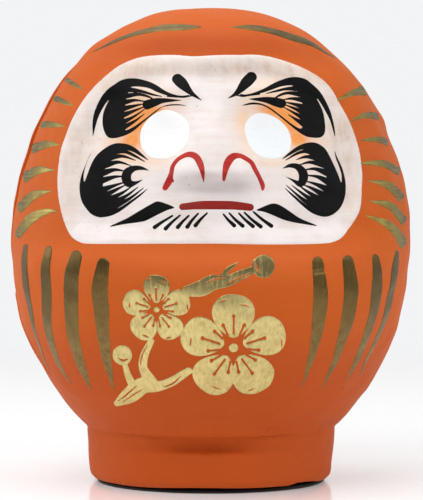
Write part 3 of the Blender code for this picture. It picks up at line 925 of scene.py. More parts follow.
@dataclass
class PaperBody:
    """The two paper half shells and the strip pasted over their seam."""

    form: DollForm
    paint: bpy.types.Material
    wall: float = 2.0
    seam_y: float = -10.0
    seam_gap: float = 0.04
    strip_half: float = 3.5
    strip_lift: float = 0.09
    front_columns: int = 301
    rear_columns: int = 201

    def rows(self, fine: bool) -> Array:
        """Heights of the grid's rows: close together at the crease, the face and the crown.

        Args:
            fine: whether the rows are for the half with the face.

        Returns:
            The heights, from the rim to the crown.
        """
        crown_start = 134.0
        form = self.form
        reach = (crown_start - form.belly_height) / (form.height - form.belly_height)
        low = math.asin(reach ** (form.head_power / 2))
        turns = np.linspace(low, math.pi / 2, 27 if fine else 25)
        rise = (form.height - form.belly_height) * np.sin(turns) ** (2 / form.head_power)
        spans = ((0.0, 12.0, 10), (12.0, 22.0, 24), (22.0, 66.0, 37 if fine else 30))
        parts = [np.linspace(a, b, n)[:-1] for a, b, n in spans]
        parts.append(np.linspace(66.0, crown_start, 89 if fine else 46)[:-1])
        return np.concatenate([*parts, form.belly_height + rise])

    def _heights(self, rows: Array, turn: Array) -> Array:
        """Row heights over a grid of angles, drawn up to meet the torn rim below.

        Args:
            rows: heights of the rows.
            turn: angles of the grid.

        Returns:
            The grid's heights.
        """
        rim = self.form.rim(turn)
        share = rows[:, None] / 14.0
        return np.where(share < 1.0, rim + (14.0 - rim) * share, rows[:, None])

    def build_half(self, front: bool) -> bpy.types.Object:
        """One half shell: a grid over the angle, from seam to seam, and the height.

        At each row the seam plane cuts the body at the angle whose cosine is the plane's distance
        over the radius, and the columns share out the angles on one side of it. The rear half's
        angles run on past half a turn, so the marks don't reach its left flank.

        Args:
            front: whether it is the half with the face.

        Returns:
            The shell.
        """
        rows = self.rows(front)
        radius = np.maximum(self.form.radius(rows), 1e-6)
        plane = -self.seam_y + (self.seam_gap if front else -self.seam_gap)
        seam = np.arccos(np.clip(plane / radius, -1.0, 1.0))[:, None]
        if front:
            across = np.linspace(-1.0, 1.0, self.front_columns)[None, :]
            turn = seam * (0.55 * across + 0.45 * across**3)
            keep = (radius >= plane).nonzero()[0]
            turn, rows = turn[: keep[-1] + 2], rows[: keep[-1] + 2]
            rows[-1] = self._seam_top(plane)
            turn[-1] = 0.0
        else:
            across = np.linspace(0.0, 1.0, self.rear_columns)[None, :]
            turn = seam + (math.tau - 2 * seam) * across
        wrapped = (turn + math.pi) % math.tau - math.pi
        points = self.form.point(turn, self._heights(rows, wrapped))
        name = "front_shell_paper" if front else "rear_shell_paper"
        piece = make_piece(name, points.reshape(-1, 3), grid_faces(*turn.shape), weld=0.01)
        thicken(piece, self.wall)
        return piece

    def _seam_top(self, plane: float) -> float:
        """The height at which the seam plane leaves the crown.

        Args:
            plane: how far in front of the axis the seam plane lies.

        Returns:
            The height.
        """
        form = self.form
        share = 1 - (plane / form.belly_radius) ** form.head_power
        return form.belly_height + (form.height - form.belly_height) * share ** (1 / form.head_power)

    def build_strip(self) -> bpy.types.Object:
        """The paper strip: lines of constant y that run from rim to rim over the crown.

        Along a line the height rises as a sine of the way along it, which spaces the points evenly
        over the crown. Its edges are feathered into the shell.

        Returns:
            The strip.
        """
        side = np.linspace(1.0, -1.0, 15)[None, :]
        way = np.linspace(-1.0, 1.0, 521)[:, None]
        plane = -(self.seam_y + side * self.strip_half) + 0.0 * way
        share = 1 - (plane / self.form.belly_radius) ** self.form.head_power
        rise = share ** (1 / self.form.head_power)
        top = self.form.belly_height + (self.form.height - self.form.belly_height) * rise
        low_turn = np.sign(way) * np.arccos(plane / self.form.foot_rim_radius)
        low = self.form.rim(low_turn) + 0.3
        z = low + (top - low) * np.sin((1 - np.abs(way)) * math.pi / 2)
        z = np.where(way == 0, top, z)
        ratio = np.clip(plane / np.maximum(self.form.radius(z), 1e-6), -1.0, 1.0)
        turn = np.where(way == 0, 0.0, np.sign(way) * np.arccos(ratio))
        lift = self.strip_lift * ease((1 - np.abs(side)) / 0.95) - 0.015 + 0.0 * way
        points = self.form.point(turn, z, lift)
        piece = make_piece("seam_strip_paper", points.reshape(-1, 3), grid_faces(*z.shape), weld=0.01)
        thicken(piece, 0.4)
        return piece

    def dress(self) -> None:
        """Makes the three pieces and dresses them."""
        settle(self.build_half(True), self.paint, "front_shell")
        settle(self.build_half(False), self.paint, "rear_shell")
        settle(self.build_strip(), self.paint, "seam_strip")


@dataclass
class FootFilling:
    """The board that closes the foot and the clay weight on it."""

    clay: bpy.types.Material
    board: bpy.types.Material
    board_radius: float = 35.8
    board_height: float = 0.9
    clay_radius: float = 34.9
    clay_low: float = 1.5
    clay_high: float = 13.5

    def turned(self, name: str, profile: Array, uneven: float) -> bpy.types.Object:
        """A closed body from a profile of (radius, z) turned once about Z.

        The radius and height of each point are shifted a little by waves in the angle.

        Args:
            name: the piece's name.
            profile: from the axis below, round the outside, to the axis above.
            uneven: how large the waves are.

        Returns:
            The body.
        """
        turn = np.linspace(0.0, math.tau, 145)[None, :]
        radius, z = profile[:, :1], profile[:, 1:]
        wave = np.sin(3 * turn + 0.4 * z) + 0.6 * np.sin(8 * turn + 1.0) + 0.4 * np.sin(19 * turn)
        inner = ease(radius / 6.0)
        reach = radius + uneven * wave * inner * 0.5 - uneven * inner
        height = z + uneven * 0.3 * np.sin(5 * turn + radius / 4) * inner * ease((z - 3.0) / 6.0)
        points = np.stack([reach * np.cos(turn), reach * np.sin(turn), height + 0 * turn], axis=-1)
        faces = grid_faces(*points.shape[:2])
        return make_piece(name, points.reshape(-1, 3), faces)

    def dress(self) -> None:
        """Makes both bodies and dresses them."""
        edge = 0.35
        radius, top = self.board_radius, self.board_height
        corners = [(radius - edge, 0), (radius, edge), (radius, top - edge), (radius - edge, top)]
        board = smooth_line(corners, 4)
        flat = [(0, 0), (12, 0), (24, 0), (33, 0)]
        lid = [(33, top), (24, top), (12, top), (0, top)]
        piece = self.turned("base_board_disc", np.vstack([flat, board, lid]), 0.08)
        settle(piece, self.board, "base_board")
        radius, low, high = self.clay_radius, self.clay_low, self.clay_high
        outer = [(radius - 1.2, low), (radius, low + 1.2), (radius, high - 2.0), (radius - 2.5, high)]
        top_line = [(radius * 0.8, high - 0.6), (radius * 0.5, high - 1.8), (0, high - 2.5)]
        under = [(0, low), (14, low), (28, low)]
        profile = np.vstack([under, smooth_line(outer, 5), smooth_line(top_line, 6)])
        piece = self.turned("clay_weight_body", profile, 0.35)
        settle(piece, self.clay, "clay_weight")


# ---------------------------------------------------------------- paint films


class Side(Enum):
    """Which side of the face a piece is on, as seen from the front."""

    LEFT = "left"
    RIGHT = "right"


class Layer(Enum):
    """How far off the paper a coat's edge and its top lie, in millimetres."""

    ON_PAPER = (-0.03, 0.13)
    ON_WHITE = (0.09, 0.24)


@dataclass(frozen=True)
class Stroke:
    """One pull of the brush: points along it and its width at each, seen from the front."""

    path: Sequence[Point]
    widths: Sequence[float]
    cap: float = 1.0

    def line(self) -> Array:
        """A smooth line of (x, z, width).

        Returns:
            Rows of x, z and width.
        """
        rows = smooth_line(np.column_stack([self.path, self.widths]), 6)
        rows[:, 2] = np.maximum(rows[:, 2], 0.0)
        return rows

    def outline(self) -> Array:
        """The closed edge of the stroke, as points offset to both sides of its line.

        Returns:
            Rows of x and z.
        """
        rows = self.line()
        ahead = np.gradient(rows[:, :2], axis=0)
        ahead /= np.linalg.norm(ahead, axis=1, keepdims=True)
        across = np.column_stack([-ahead[:, 1], ahead[:, 0]]) * rows[:, 2:] / 2
        cap = np.linspace(0, math.pi, 9)[1:-1, None]
        round_off = self.cap * rows[0, 2] / 2
        start = rows[0, :2] - np.cos(cap) * across[0] - np.sin(cap) * round_off * ahead[0]
        sides = [rows[:, :2] + across, (rows[:, :2] - across)[::-1], start]
        return np.vstack(sides)

    def depth(self, x: Array, z: Array) -> Array:
        """How deep each place lies in the stroke."""
        return stroke_depth(x, z, self.line())


@dataclass(frozen=True)
class Patch:
    """A filled shape with a smooth outline, seen from the front."""

    outline: Sequence[Point]
    steps: int = 5

    def depth(self, x: Array, z: Array) -> Array:
        """How deep each place lies in the shape."""
        return loop_depth(x, z, smooth_line(self.outline, self.steps, closed=True))

    def line(self) -> Array:
        """The outline's points, with no width, which give the shape's reach."""
        loop = smooth_line(self.outline, self.steps, closed=True)
        return np.column_stack([loop, np.zeros(len(loop))])


def covering_grid(spots: Array, margin: float, cell: float) -> tuple[Array, Array]:
    """The columns and rows of a grid of cells that covers some places and a margin round them."""
    low, high = spots.min(axis=0) - margin, spots.max(axis=0) + margin
    return np.arange(low[0], high[0], cell), np.arange(low[1], high[1], cell)


@dataclass
class PaintCoat:
    """A film of paint: every place where one of its shapes is deep and none of its gaps is."""

    node: str
    shapes: Sequence[Stroke | Patch]
    gaps: Sequence[Stroke | Patch] = ()
    layer: Layer = Layer.ON_WHITE
    cell: float = 0.2
    ragged: float = 0.0
    build_up: float = 0.14

    def depth(self, x: Array, z: Array) -> Array:
        """Depth in the film: the deepest of its shapes, cut by its gaps, with a ragged edge.

        Args:
            x: first coordinate of the places asked about.
            z: second coordinate of the places asked about.

        Returns:
            The depth at each place, positive in the film.
        """
        depth = np.max([shape.depth(x, z) for shape in self.shapes], axis=0)
        for gap in self.gaps:
            depth = np.minimum(depth, -gap.depth(x, z))
        if self.ragged:
            wave = np.sin(5.1 * x + 2.0 * z) + np.sin(7.7 * z - 3.1 * x + 1.0)
            depth = depth + self.ragged * (wave + np.sin(13.0 * x + 9.0 * z)) / 3
        return depth

    def reach(self) -> tuple[Array, Array]:
        """The grid that covers every shape, as its columns and rows.

        Returns:
            The columns and the rows.
        """
        lines = [shape.line() for shape in self.shapes]
        margin = max(line[:, 2].max() for line in lines) / 2 + 3 * self.cell
        return covering_grid(np.vstack([line[:, :2] for line in lines]), margin, self.cell)

    def place(self, form: DollForm, x: Array, z: Array, lift: Array) -> Array:
        """Places on the doll for places seen from the front."""
        return form.point(form.turn_of(x, z), z, lift)

    def build(self, form: DollForm) -> bpy.types.Object:
        """The film as a mesh.

        A grid of small cells covers the shapes. Cells with a corner in the film are kept, and each
        corner that lies outside is moved to the film's edge, down the slope of the depth. The film
        rises from under the surface at its edge to its full height inside.

        Args:
            form: the surface that it lies on.

        Returns:
            The film, with its thickness.
        """
        columns, rows = self.reach()
        x, z = np.meshgrid(columns, rows)
        depth = self.depth(x, z)
        corners = np.stack([depth[:-1, :-1], depth[:-1, 1:], depth[1:, 1:], depth[1:, :-1]])
        kept = (corners.max(axis=0) > 0).ravel()
        faces = grid_faces(*x.shape)[kept]
        slope_z, slope_x = np.gradient(depth, rows, columns)
        steep = np.maximum(slope_x**2 + slope_z**2, 0.25)
        outside = np.clip(-depth, 0.0, 1.5 * self.cell)
        x, z = x + outside * slope_x / steep, z + outside * slope_z / steep
        used, faces = np.unique(faces, return_inverse=True)
        x, z, depth = (part.ravel()[used] for part in (x, z, depth))
        edge, top = self.layer.value
        lift = edge + (top - edge) * ease(np.maximum(depth, 0.0) / self.build_up)
        points = self.place(form, x, z, lift)
        piece = make_piece(f"{self.node}_paint", points, faces.reshape(-1, 4), weld=0.02)
        thicken(piece, 0.15)
        return piece


@dataclass
class WrappedCoat(PaintCoat):
    """A film near the doll's sides, laid out on the unrolled surface and not on the front view."""

    form: DollForm = field(default_factory=DollForm)

    def unrolled(self, x: Array, z: Array) -> Array:
        """The distance round the belly at which a place seen from the front lies."""
        return self.form.turn_of(x, z) * self.form.belly_radius

    def _loops(self) -> list[Array]:
        """Each shape's outline on the unrolled surface."""
        loops = [shape.outline() for shape in self.shapes]
        return [np.column_stack([self.unrolled(loop[:, 0], loop[:, 1]), loop[:, 1]]) for loop in loops]

    def depth(self, x: Array, z: Array) -> Array:
        """Depth in the film on the unrolled surface.

        Args:
            x: distances round the belly.
            z: heights.

        Returns:
            The depth at each place, positive in the film.
        """
        depth = np.max([loop_depth(x, z, loop) for loop in self._loops()], axis=0)
        if self.ragged:
            wave = np.sin(4.1 * x + 1.3 * z) + np.sin(3.7 * z - 6.1 * x + 1.0)
            depth = depth + self.ragged * (wave + np.sin(11.0 * x - 2.0 * z)) / 3
        return depth

    def reach(self) -> tuple[Array, Array]:
        """The grid that covers every shape on the unrolled surface.

        Returns:
            The columns and the rows.
        """
        return covering_grid(np.vstack(self._loops()), 3 * self.cell, self.cell)

    def place(self, form: DollForm, x: Array, z: Array, lift: Array) -> Array:
        """Places on the doll for places on the unrolled surface."""
        return form.point(x / form.belly_radius, z, lift)


# ---------------------------------------------------------------- the painted face


FACE_EDGE = [
    (-3.2, 130.8), (-7.2, 131.3), (-11.2, 132.0), (-17.6, 131.8), (-24.0, 130.0), (-32.1, 124.9),
    (-38.5, 117.7), (-43.2, 108.0), (-45.0, 100.0), (-45.1, 92.0), (-43.4, 84.8), (-40.8, 78.4),
    (-37.4, 76.1), (-33.0, 75.7), (-16, 75.7), (1.4, 75.7), (16, 75.5), (30.8, 75.7), (35.6, 76.3),
    (39.0, 78.4), (43.7, 84.8), (45.3, 93.6), (45.2, 98.4), (43.0, 108.0), (39.0, 116.1),
    (33.5, 124.1), (25.4, 128.3), (15.8, 131.1), (6.0, 130.9),
]

EYE_EDGES = {
    Side.LEFT: [
        (-20.6, 105.9), (-20.2, 109.3), (-17.9, 112.7), (-14.2, 114.6), (-10.6, 114.2),
        (-7.2, 111.6), (-6.0, 108.4), (-7.0, 104.4), (-10.0, 101.2), (-13.6, 100.0),
        (-17.2, 100.6), (-19.7, 102.9),
    ],
    Side.RIGHT: [
        (9.8, 108.8), (10.6, 111.6), (13.0, 113.5), (16.0, 113.6), (19.6, 112.0), (22.4, 109.2),
        (23.4, 105.8), (22.8, 102.9), (20.8, 100.9), (17.8, 100.1), (13.9, 100.9), (11.0, 104.0),
    ],
}

BROWS = {
    Side.LEFT: [
        (-5.6, 119.3), (-8.5, 119.0), (-11.2, 119.6), (-13.6, 120.8), (-15.7, 122.3),
        (-17.9, 123.5), (-20.3, 124.2), (-22.3, 124.5), (-24.5, 124.4), (-26.4, 123.9),
        (-28.2, 122.8), (-30.0, 121.5), (-31.5, 119.9), (-32.7, 118.1), (-33.7, 116.0),
        (-34.5, 113.6), (-34.9, 110.8), (-34.8, 108.6), (-34.7, 107.2), (-34.2, 109.0),
        (-33.5, 111.6), (-32.4, 114.3), (-31.1, 116.6), (-30.0, 118.0), (-30.8, 116.3),
        (-31.6, 114.1), (-31.8, 111.6), (-31.6, 109.7), (-30.9, 107.9), (-30.0, 106.9),
        (-28.7, 106.6), (-26.9, 106.8), (-24.8, 107.5), (-23.0, 108.4), (-21.3, 109.7),
        (-19.5, 111.4), (-17.4, 113.1), (-15.6, 114.5), (-14.2, 115.5), (-12.4, 115.9),
        (-9.7, 116.0), (-6.7, 115.8), (-9.0, 116.4), (-11.6, 116.45), (-13.7, 116.0),
        (-15.8, 114.9), (-19.1, 112.5), (-21.9, 110.4), (-24.6, 109.1), (-25.3, 109.8),
        (-25.4, 113.0), (-25.2, 116.0), (-24.8, 118.5), (-24.0, 120.7), (-23.1, 121.9),
        (-18.8, 121.6), (-15.7, 120.2), (-12.7, 119.1), (-9.4, 118.55), (-7.2, 118.8),
    ],
    Side.RIGHT: [
        (7.3, 119.6), (9.8, 119.1), (12.3, 119.6), (15.3, 120.9), (17.7, 122.4), (19.8, 123.5),
        (22.6, 124.4), (25.3, 124.5), (27.7, 123.9), (29.8, 122.4), (31.9, 120.5), (33.7, 117.8),
        (35.2, 114.8), (36.1, 111.5), (36.5, 108.6), (36.4, 107.0), (35.8, 109.0), (34.9, 112.1),
        (33.4, 115.0), (31.9, 117.3), (31.0, 118.3), (32.3, 115.9), (33.1, 113.5), (33.4, 110.1),
        (33.1, 108.0), (32.0, 106.8), (30.1, 106.6), (27.7, 107.0), (25.3, 108.5), (22.9, 110.4),
        (20.5, 112.3), (17.6, 114.5), (15.2, 115.8), (12.5, 116.2), (8.9, 115.8), (11.4, 116.75),
        (14.5, 116.6), (17.5, 115.2), (20.6, 112.9), (23.7, 110.6), (26.0, 109.4), (26.7, 110.3),
        (26.9, 113.1), (26.6, 116.0), (26.0, 118.6), (25.0, 120.7), (23.7, 122.0), (20.6, 121.7),
        (17.5, 120.5), (15.1, 119.6), (12.0, 118.95), (9.4, 118.7),
    ],
}

# The fine hairs between a brow's long sweep and its drop: start, bend, end.
BROW_HAIRS = {
    Side.LEFT: [
        [(-24.2, 121.1), (-20.3, 120.5), (-17.3, 119.6), (-14.4, 118.9)],
        [(-24.9, 119.2), (-21.2, 119.6), (-18.3, 118.9), (-16.6, 117.9)],
        [(-25.3, 117.4), (-22.2, 117.9), (-18.9, 117.4)],
        [(-25.3, 115.6), (-22.2, 116.3), (-19.5, 116.8)],
        [(-25.4, 113.7), (-22.2, 114.9), (-19.3, 116.0)],
        [(-25.6, 111.6), (-22.8, 112.9), (-19.4, 115.2)],
        [(-25.3, 110.0), (-22.2, 111.7), (-19.5, 113.8)],
    ],
    Side.RIGHT: [
        [(25.1, 121.2), (21.8, 121.0), (19.1, 120.3), (16.0, 119.4)],
        [(25.8, 119.5), (22.4, 119.8), (20.0, 119.0), (18.2, 117.9)],
        [(26.2, 117.8), (23.4, 118.1), (20.6, 117.6)],
        [(26.3, 115.8), (23.7, 116.5), (21.1, 117.0)],
        [(26.5, 114.1), (24.0, 115.2), (21.2, 116.3)],
        [(26.9, 112.3), (24.3, 113.7), (21.2, 115.4)],
        [(26.7, 110.8), (24.6, 112.0), (22.5, 113.3)],
    ],
}

BROW_SPOTS = {
    Side.LEFT: Stroke(
        [(-18.6, 116.5), (-16.6, 117.1), (-14.2, 117.6), (-11.2, 117.6), (-8.2, 117.6)],
        [2.9, 2.6, 1.7, 0.9, 0.1],
    ),
    Side.RIGHT: Stroke(
        [(20.4, 116.6), (18.4, 117.1), (15.8, 117.6), (13.1, 117.7), (10.7, 117.8)],
        [2.9, 2.6, 1.7, 0.9, 0.1],
    ),
}

BROW_DROPS = {
    Side.LEFT: Stroke([(-9.8, 124.1), (-8.4, 122.6), (-5.7, 119.7), (-2.6, 117.4)], [3.3, 3.3, 1.5, 0.2]),
    Side.RIGHT: Stroke([(11.9, 124.6), (10.3, 122.7), (7.6, 119.6), (5.0, 117.9)], [3.3, 3.3, 1.5, 0.2]),
}

BROW_LINKS = {
    Side.LEFT: Stroke([(-12.6, 119.0), (-9.4, 118.7), (-7.6, 118.6), (-5.4, 118.9)], [0.7, 0.7, 0.6, 0.4]),
    Side.RIGHT: Stroke([(14.0, 119.3), (11.0, 118.9), (9.2, 118.6), (7.2, 118.9)], [0.7, 0.7, 0.6, 0.4]),
}

CHEEKS = {
    Side.LEFT: [
        (-34.3, 103.4), (-35.5, 101.0), (-36.8, 98.1), (-37.7, 95.8), (-38.1, 93.1), (-37.9, 90.4),
        (-37.2, 88.0), (-36.1, 86.2), (-34.3, 84.3), (-32.1, 83.4), (-30.3, 83.4), (-28.2, 83.8),
        (-25.7, 85.0), (-22.8, 87.2), (-19.8, 89.6), (-17.7, 91.8), (-19.8, 90.3), (-22.7, 88.3),
        (-26.0, 86.2), (-28.1, 85.6), (-29.2, 87.6), (-30.5, 90.0), (-31.1, 92.6), (-31.1, 95.0),
        (-30.7, 97.4), (-29.6, 99.8), (-28.5, 101.9), (-27.3, 103.0), (-25.0, 103.1),
        (-22.6, 102.4), (-20.2, 101.0), (-17.8, 99.7), (-20.1, 102.0), (-21.9, 103.6),
        (-24.2, 104.8), (-26.9, 105.2), (-29.0, 104.8), (-31.1, 103.6), (-33.3, 101.4),
        (-34.9, 98.6), (-35.9, 96.0), (-36.7, 93.9), (-36.9, 96.2), (-36.1, 99.2), (-34.9, 101.8),
    ],
    Side.RIGHT: [
        (36.2, 103.2), (37.4, 100.9), (38.9, 98.2), (39.9, 94.9), (40.0, 91.3), (39.4, 88.6),
        (38.1, 86.2), (35.9, 84.4), (33.5, 83.6), (31.0, 83.9), (28.6, 84.9), (26.2, 86.6),
        (23.2, 89.2), (20.7, 92.0), (23.5, 89.9), (26.2, 87.8), (28.6, 86.3), (29.8, 85.9),
        (31.2, 87.9), (32.6, 90.2), (33.4, 92.8), (33.3, 95.2), (32.6, 97.6), (31.2, 100.2),
        (29.9, 102.0), (28.4, 102.9), (26.0, 102.9), (23.4, 101.6), (20.3, 99.9), (22.6, 102.2),
        (25.2, 104.1), (27.3, 105.0), (29.2, 105.3), (31.0, 105.0), (33.1, 103.7), (34.6, 101.6),
        (36.2, 98.6), (37.5, 95.9), (38.4, 93.9), (38.5, 96.2), (37.7, 98.6), (36.7, 100.8),
    ],
}

CHEEK_HAIRS = {
    Side.LEFT: [
        [(-28.3, 102.7), (-25.0, 102.6), (-22.0, 101.2), (-19.0, 99.4)],
        [(-29.0, 100.9), (-25.6, 101.2), (-21.8, 99.9)],
        [(-30.0, 98.8), (-26.6, 99.4), (-23.0, 98.3)],
        [(-30.8, 96.5), (-27.6, 97.2), (-24.4, 96.6)],
        [(-31.2, 94.2), (-27.8, 95.1), (-24.4, 95.2)],
        [(-31.1, 91.4), (-27.8, 92.6), (-24.4, 93.6)],
        [(-30.4, 89.7), (-27.2, 91.4), (-24.2, 92.8)],
        [(-29.6, 88.4), (-25.6, 90.3), (-22.6, 92.2)],
        [(-28.6, 87.3), (-24.2, 89.5), (-20.8, 92.0)],
        [(-27.9, 86.2), (-23.2, 88.7), (-19.2, 91.7)],
    ],
    Side.RIGHT: [
        [(29.6, 102.2), (27.2, 102.5), (24.8, 101.8), (21.5, 99.8)],
        [(30.9, 100.6), (27.4, 100.9), (24.6, 100.0)],
        [(32.1, 98.8), (28.5, 99.3), (25.4, 98.5)],
        [(33.0, 96.5), (29.8, 97.4), (26.6, 97.0)],
        [(33.4, 94.0), (30.4, 95.2), (27.0, 95.5)],
        [(33.3, 91.8), (30.2, 93.0), (27.0, 93.9)],
        [(32.6, 90.0), (29.2, 91.7), (26.2, 92.9)],
        [(31.6, 88.6), (28.0, 90.6), (24.9, 92.7)],
        [(30.7, 87.5), (26.6, 89.9), (23.2, 92.5)],
        [(29.9, 86.4), (25.6, 89.0), (21.5, 92.5)],
    ],
}

CRESCENTS = {
    Side.LEFT: Stroke(
        [(-17.5, 96.7), (-19.9, 97.5), (-22.1, 97.5), (-23.9, 96.4), (-24.3, 94.6), (-23.4, 93.1),
         (-21.6, 93.2), (-19.3, 94.2)],
        [0.1, 1.1, 1.8, 2.7, 2.9, 2.3, 1.1, 0.1],
    ),
    Side.RIGHT: Stroke(
        [(20.4, 97.3), (22.7, 98.2), (24.9, 97.9), (26.4, 96.2), (26.5, 94.3), (25.5, 93.0),
         (23.8, 93.8), (21.3, 95.1)],
        [0.1, 1.2, 1.9, 2.7, 2.7, 1.9, 0.9, 0.1],
    ),
}

MOUSTACHES = {
    Side.LEFT: [
        (-10.2, 86.0), (-12.7, 87.2), (-14.8, 87.8), (-16.3, 87.4), (-19.8, 85.4), (-23.9, 83.0),
        (-28.8, 80.6), (-24.2, 81.3), (-19.8, 81.9), (-18.0, 82.4), (-14.5, 84.2), (-12.1, 85.3),
    ],
    Side.RIGHT: [
        (12.9, 85.3), (15.5, 86.6), (17.6, 87.2), (19.6, 86.7), (22.3, 85.1), (25.6, 83.1),
        (30.9, 80.9), (26.2, 81.4), (22.6, 82.0), (20.2, 82.7), (17.3, 83.9), (14.9, 84.8),
    ],
}

WHISKERS = {
    Side.LEFT: [
        ((-10.8, 83.7), (-15.8, 80.4)), ((-8.7, 83.8), (-12.7, 80.0)), ((-6.2, 83.7), (-9.3, 80.4)),
        ((-3.6, 84.3), (-6.6, 80.5)), ((-1.1, 84.4), (-4.3, 80.9)),
    ],
    Side.RIGHT: [
        ((12.1, 84.8), (17.1, 80.8)), ((9.6, 84.6), (14.1, 80.6)), ((8.0, 84.4), (11.9, 80.7)),
        ((5.3, 84.4), (9.0, 80.8)), ((3.6, 84.1), (6.6, 80.9)),
    ],
}

NOSTRILS = {
    Side.LEFT: [
        Stroke(
            [(-12.9, 91.7), (-11.8, 93.6), (-11.1, 95.8), (-10.7, 97.8), (-9.3, 99.7), (-7.2, 100.9),
             (-5.5, 101.1), (-4.0, 100.2), (-2.9, 98.2), (-2.3, 95.9), (-2.0, 93.4)],
            [1.7, 2.0, 1.4, 1.3, 1.3, 1.5, 1.9, 2.0, 1.9, 1.3, 0.3],
        ),
        Stroke([(-11.5, 93.6), (-10.9, 93.7)], [1.5, 1.2]),
    ],
    Side.RIGHT: [
        Stroke(
            [(3.7, 94.0), (4.1, 96.6), (4.9, 99.0), (6.3, 100.6), (8.2, 100.9), (10.0, 100.1),
             (11.6, 98.9), (12.6, 97.0), (13.8, 94.7), (14.7, 92.5), (14.7, 91.2)],
            [0.9, 1.7, 2.3, 2.1, 1.5, 1.4, 1.4, 1.4, 1.3, 1.4, 0.8],
        ),
    ],
}

LIP_LINE = Stroke(
    [(-8.0, 86.2), (-5.0, 86.5), (-1.6, 86.7), (5.3, 86.7), (9.0, 86.4), (11.2, 86.1)],
    [1.9, 2.2, 2.5, 2.5, 2.3, 2.1],
)


@dataclass
class PaintedFace:
    """The white coat and every stroke on it."""

    form: DollForm
    white: bpy.types.Material
    eye: dict[Side, bpy.types.Material]
    black: bpy.types.Material
    red: bpy.types.Material
    # the red darkened by painted shade under the nose, for the lips
    shaded_lip_red: bpy.types.Material
    whisker_widths: Triple = (0.6, 0.9, 1.25)

    def hairs(self, paths: Sequence[Sequence[Point]], root: float) -> list[Stroke]:
        """Hair strokes that start inside their lobe at width root and taper to a fine tip.

        Args:
            paths: each hair's points, from its root to its tip.
            root: width at the root.

        Returns:
            The strokes.
        """
        strokes = []
        for path in paths:
            start, bend = np.array(path[0]), np.array(path[1])
            inside = start + 0.3 * (start - bend)
            share = np.linspace(0, 1, len(path))
            widths = np.interp(share, (0, 0.35, 0.7, 1), (root, 0.58 * root, 0.42 * root, 0.3))
            strokes.append(Stroke([tuple(inside), *path], [1.1 * root, *widths]))
        return strokes

    def whisker(self, ends: tuple[Point, Point]) -> Stroke:
        """A whisker: a short stroke, thin above and round and wide below.

        Args:
            ends: its upper and its lower end.

        Returns:
            The stroke.
        """
        (ax, az), (bx, bz) = ends
        middle = ((ax + bx) / 2 + 0.05 * (bz - az), (az + bz) / 2)
        return Stroke([ends[0], middle, ends[1]], self.whisker_widths)

    def coat(self, node: str, slot: str, finish: bpy.types.Material, shapes: Sequence, **more: Any) -> None:
        """Builds one film and dresses it."""
        settle(PaintCoat(node, shapes, **more).build(self.form), finish, node)

    def dress(self) -> None:
        """Makes every film of the face and dresses it."""
        below = {"layer": Layer.ON_PAPER, "cell": 0.42, "build_up": 0.5}
        self.coat("face_coat", "white_paint", self.white, [Patch(FACE_EDGE)], **below)
        for side in Side:
            name = side.value
            self.coat(f"eye_white_{name}", "eye_paint", self.eye[side], [Patch(EYE_EDGES[side])])
            brow = [Patch(BROWS[side], 4), BROW_SPOTS[side], BROW_LINKS[side]]
            brow += self.hairs(BROW_HAIRS[side], 1.7)
            self.coat(f"brow_{name}", "black_paint", self.black, brow, cell=0.13)
            self.coat(f"brow_drop_{name}", "black_paint", self.black, [BROW_DROPS[side]], cell=0.15)
            cheek = [Patch(CHEEKS[side], 4), CRESCENTS[side], *self.hairs(CHEEK_HAIRS[side], 2.0)]
            self.coat(f"cheek_{name}", "black_paint", self.black, cheek, cell=0.13)
            self.coat(f"moustache_{name}", "black_paint", self.black, [Patch(MOUSTACHES[side])], cell=0.16)
            self.coat(f"nostril_{name}", "red_paint", self.red, NOSTRILS[side], cell=0.14)
            for number, ends in enumerate(WHISKERS[side], 1):
                stroke = self.whisker(ends)
                self.coat(f"whisker_{number}_{name}", "black_paint", self.black, [stroke], cell=0.12)
        self.coat("lips", "red_paint", self.shaded_lip_red, [LIP_LINE], cell=0.15)


# ---------------------------------------------------------------- the gold brush work


CROWN_STROKES = {
    Side.LEFT: Stroke(
        [(-3.3, 141.3), (-8.2, 141.1), (-14.2, 140.8), (-20.2, 139.9), (-25.8, 138.6),
         (-31.6, 136.6), (-36.1, 135.1)],
        [0.8, 2.6, 2.5, 2.1, 1.7, 1.0, 0.3],
    ),
    Side.RIGHT: Stroke(
        [(6.5, 140.8), (12.4, 140.4), (19.4, 139.6), (25.5, 138.3), (30.8, 136.7), (36.1, 133.9),
         (39.2, 133.2)],
        [0.5, 2.2, 2.5, 2.5, 2.0, 1.1, 0.2],
    ),
}

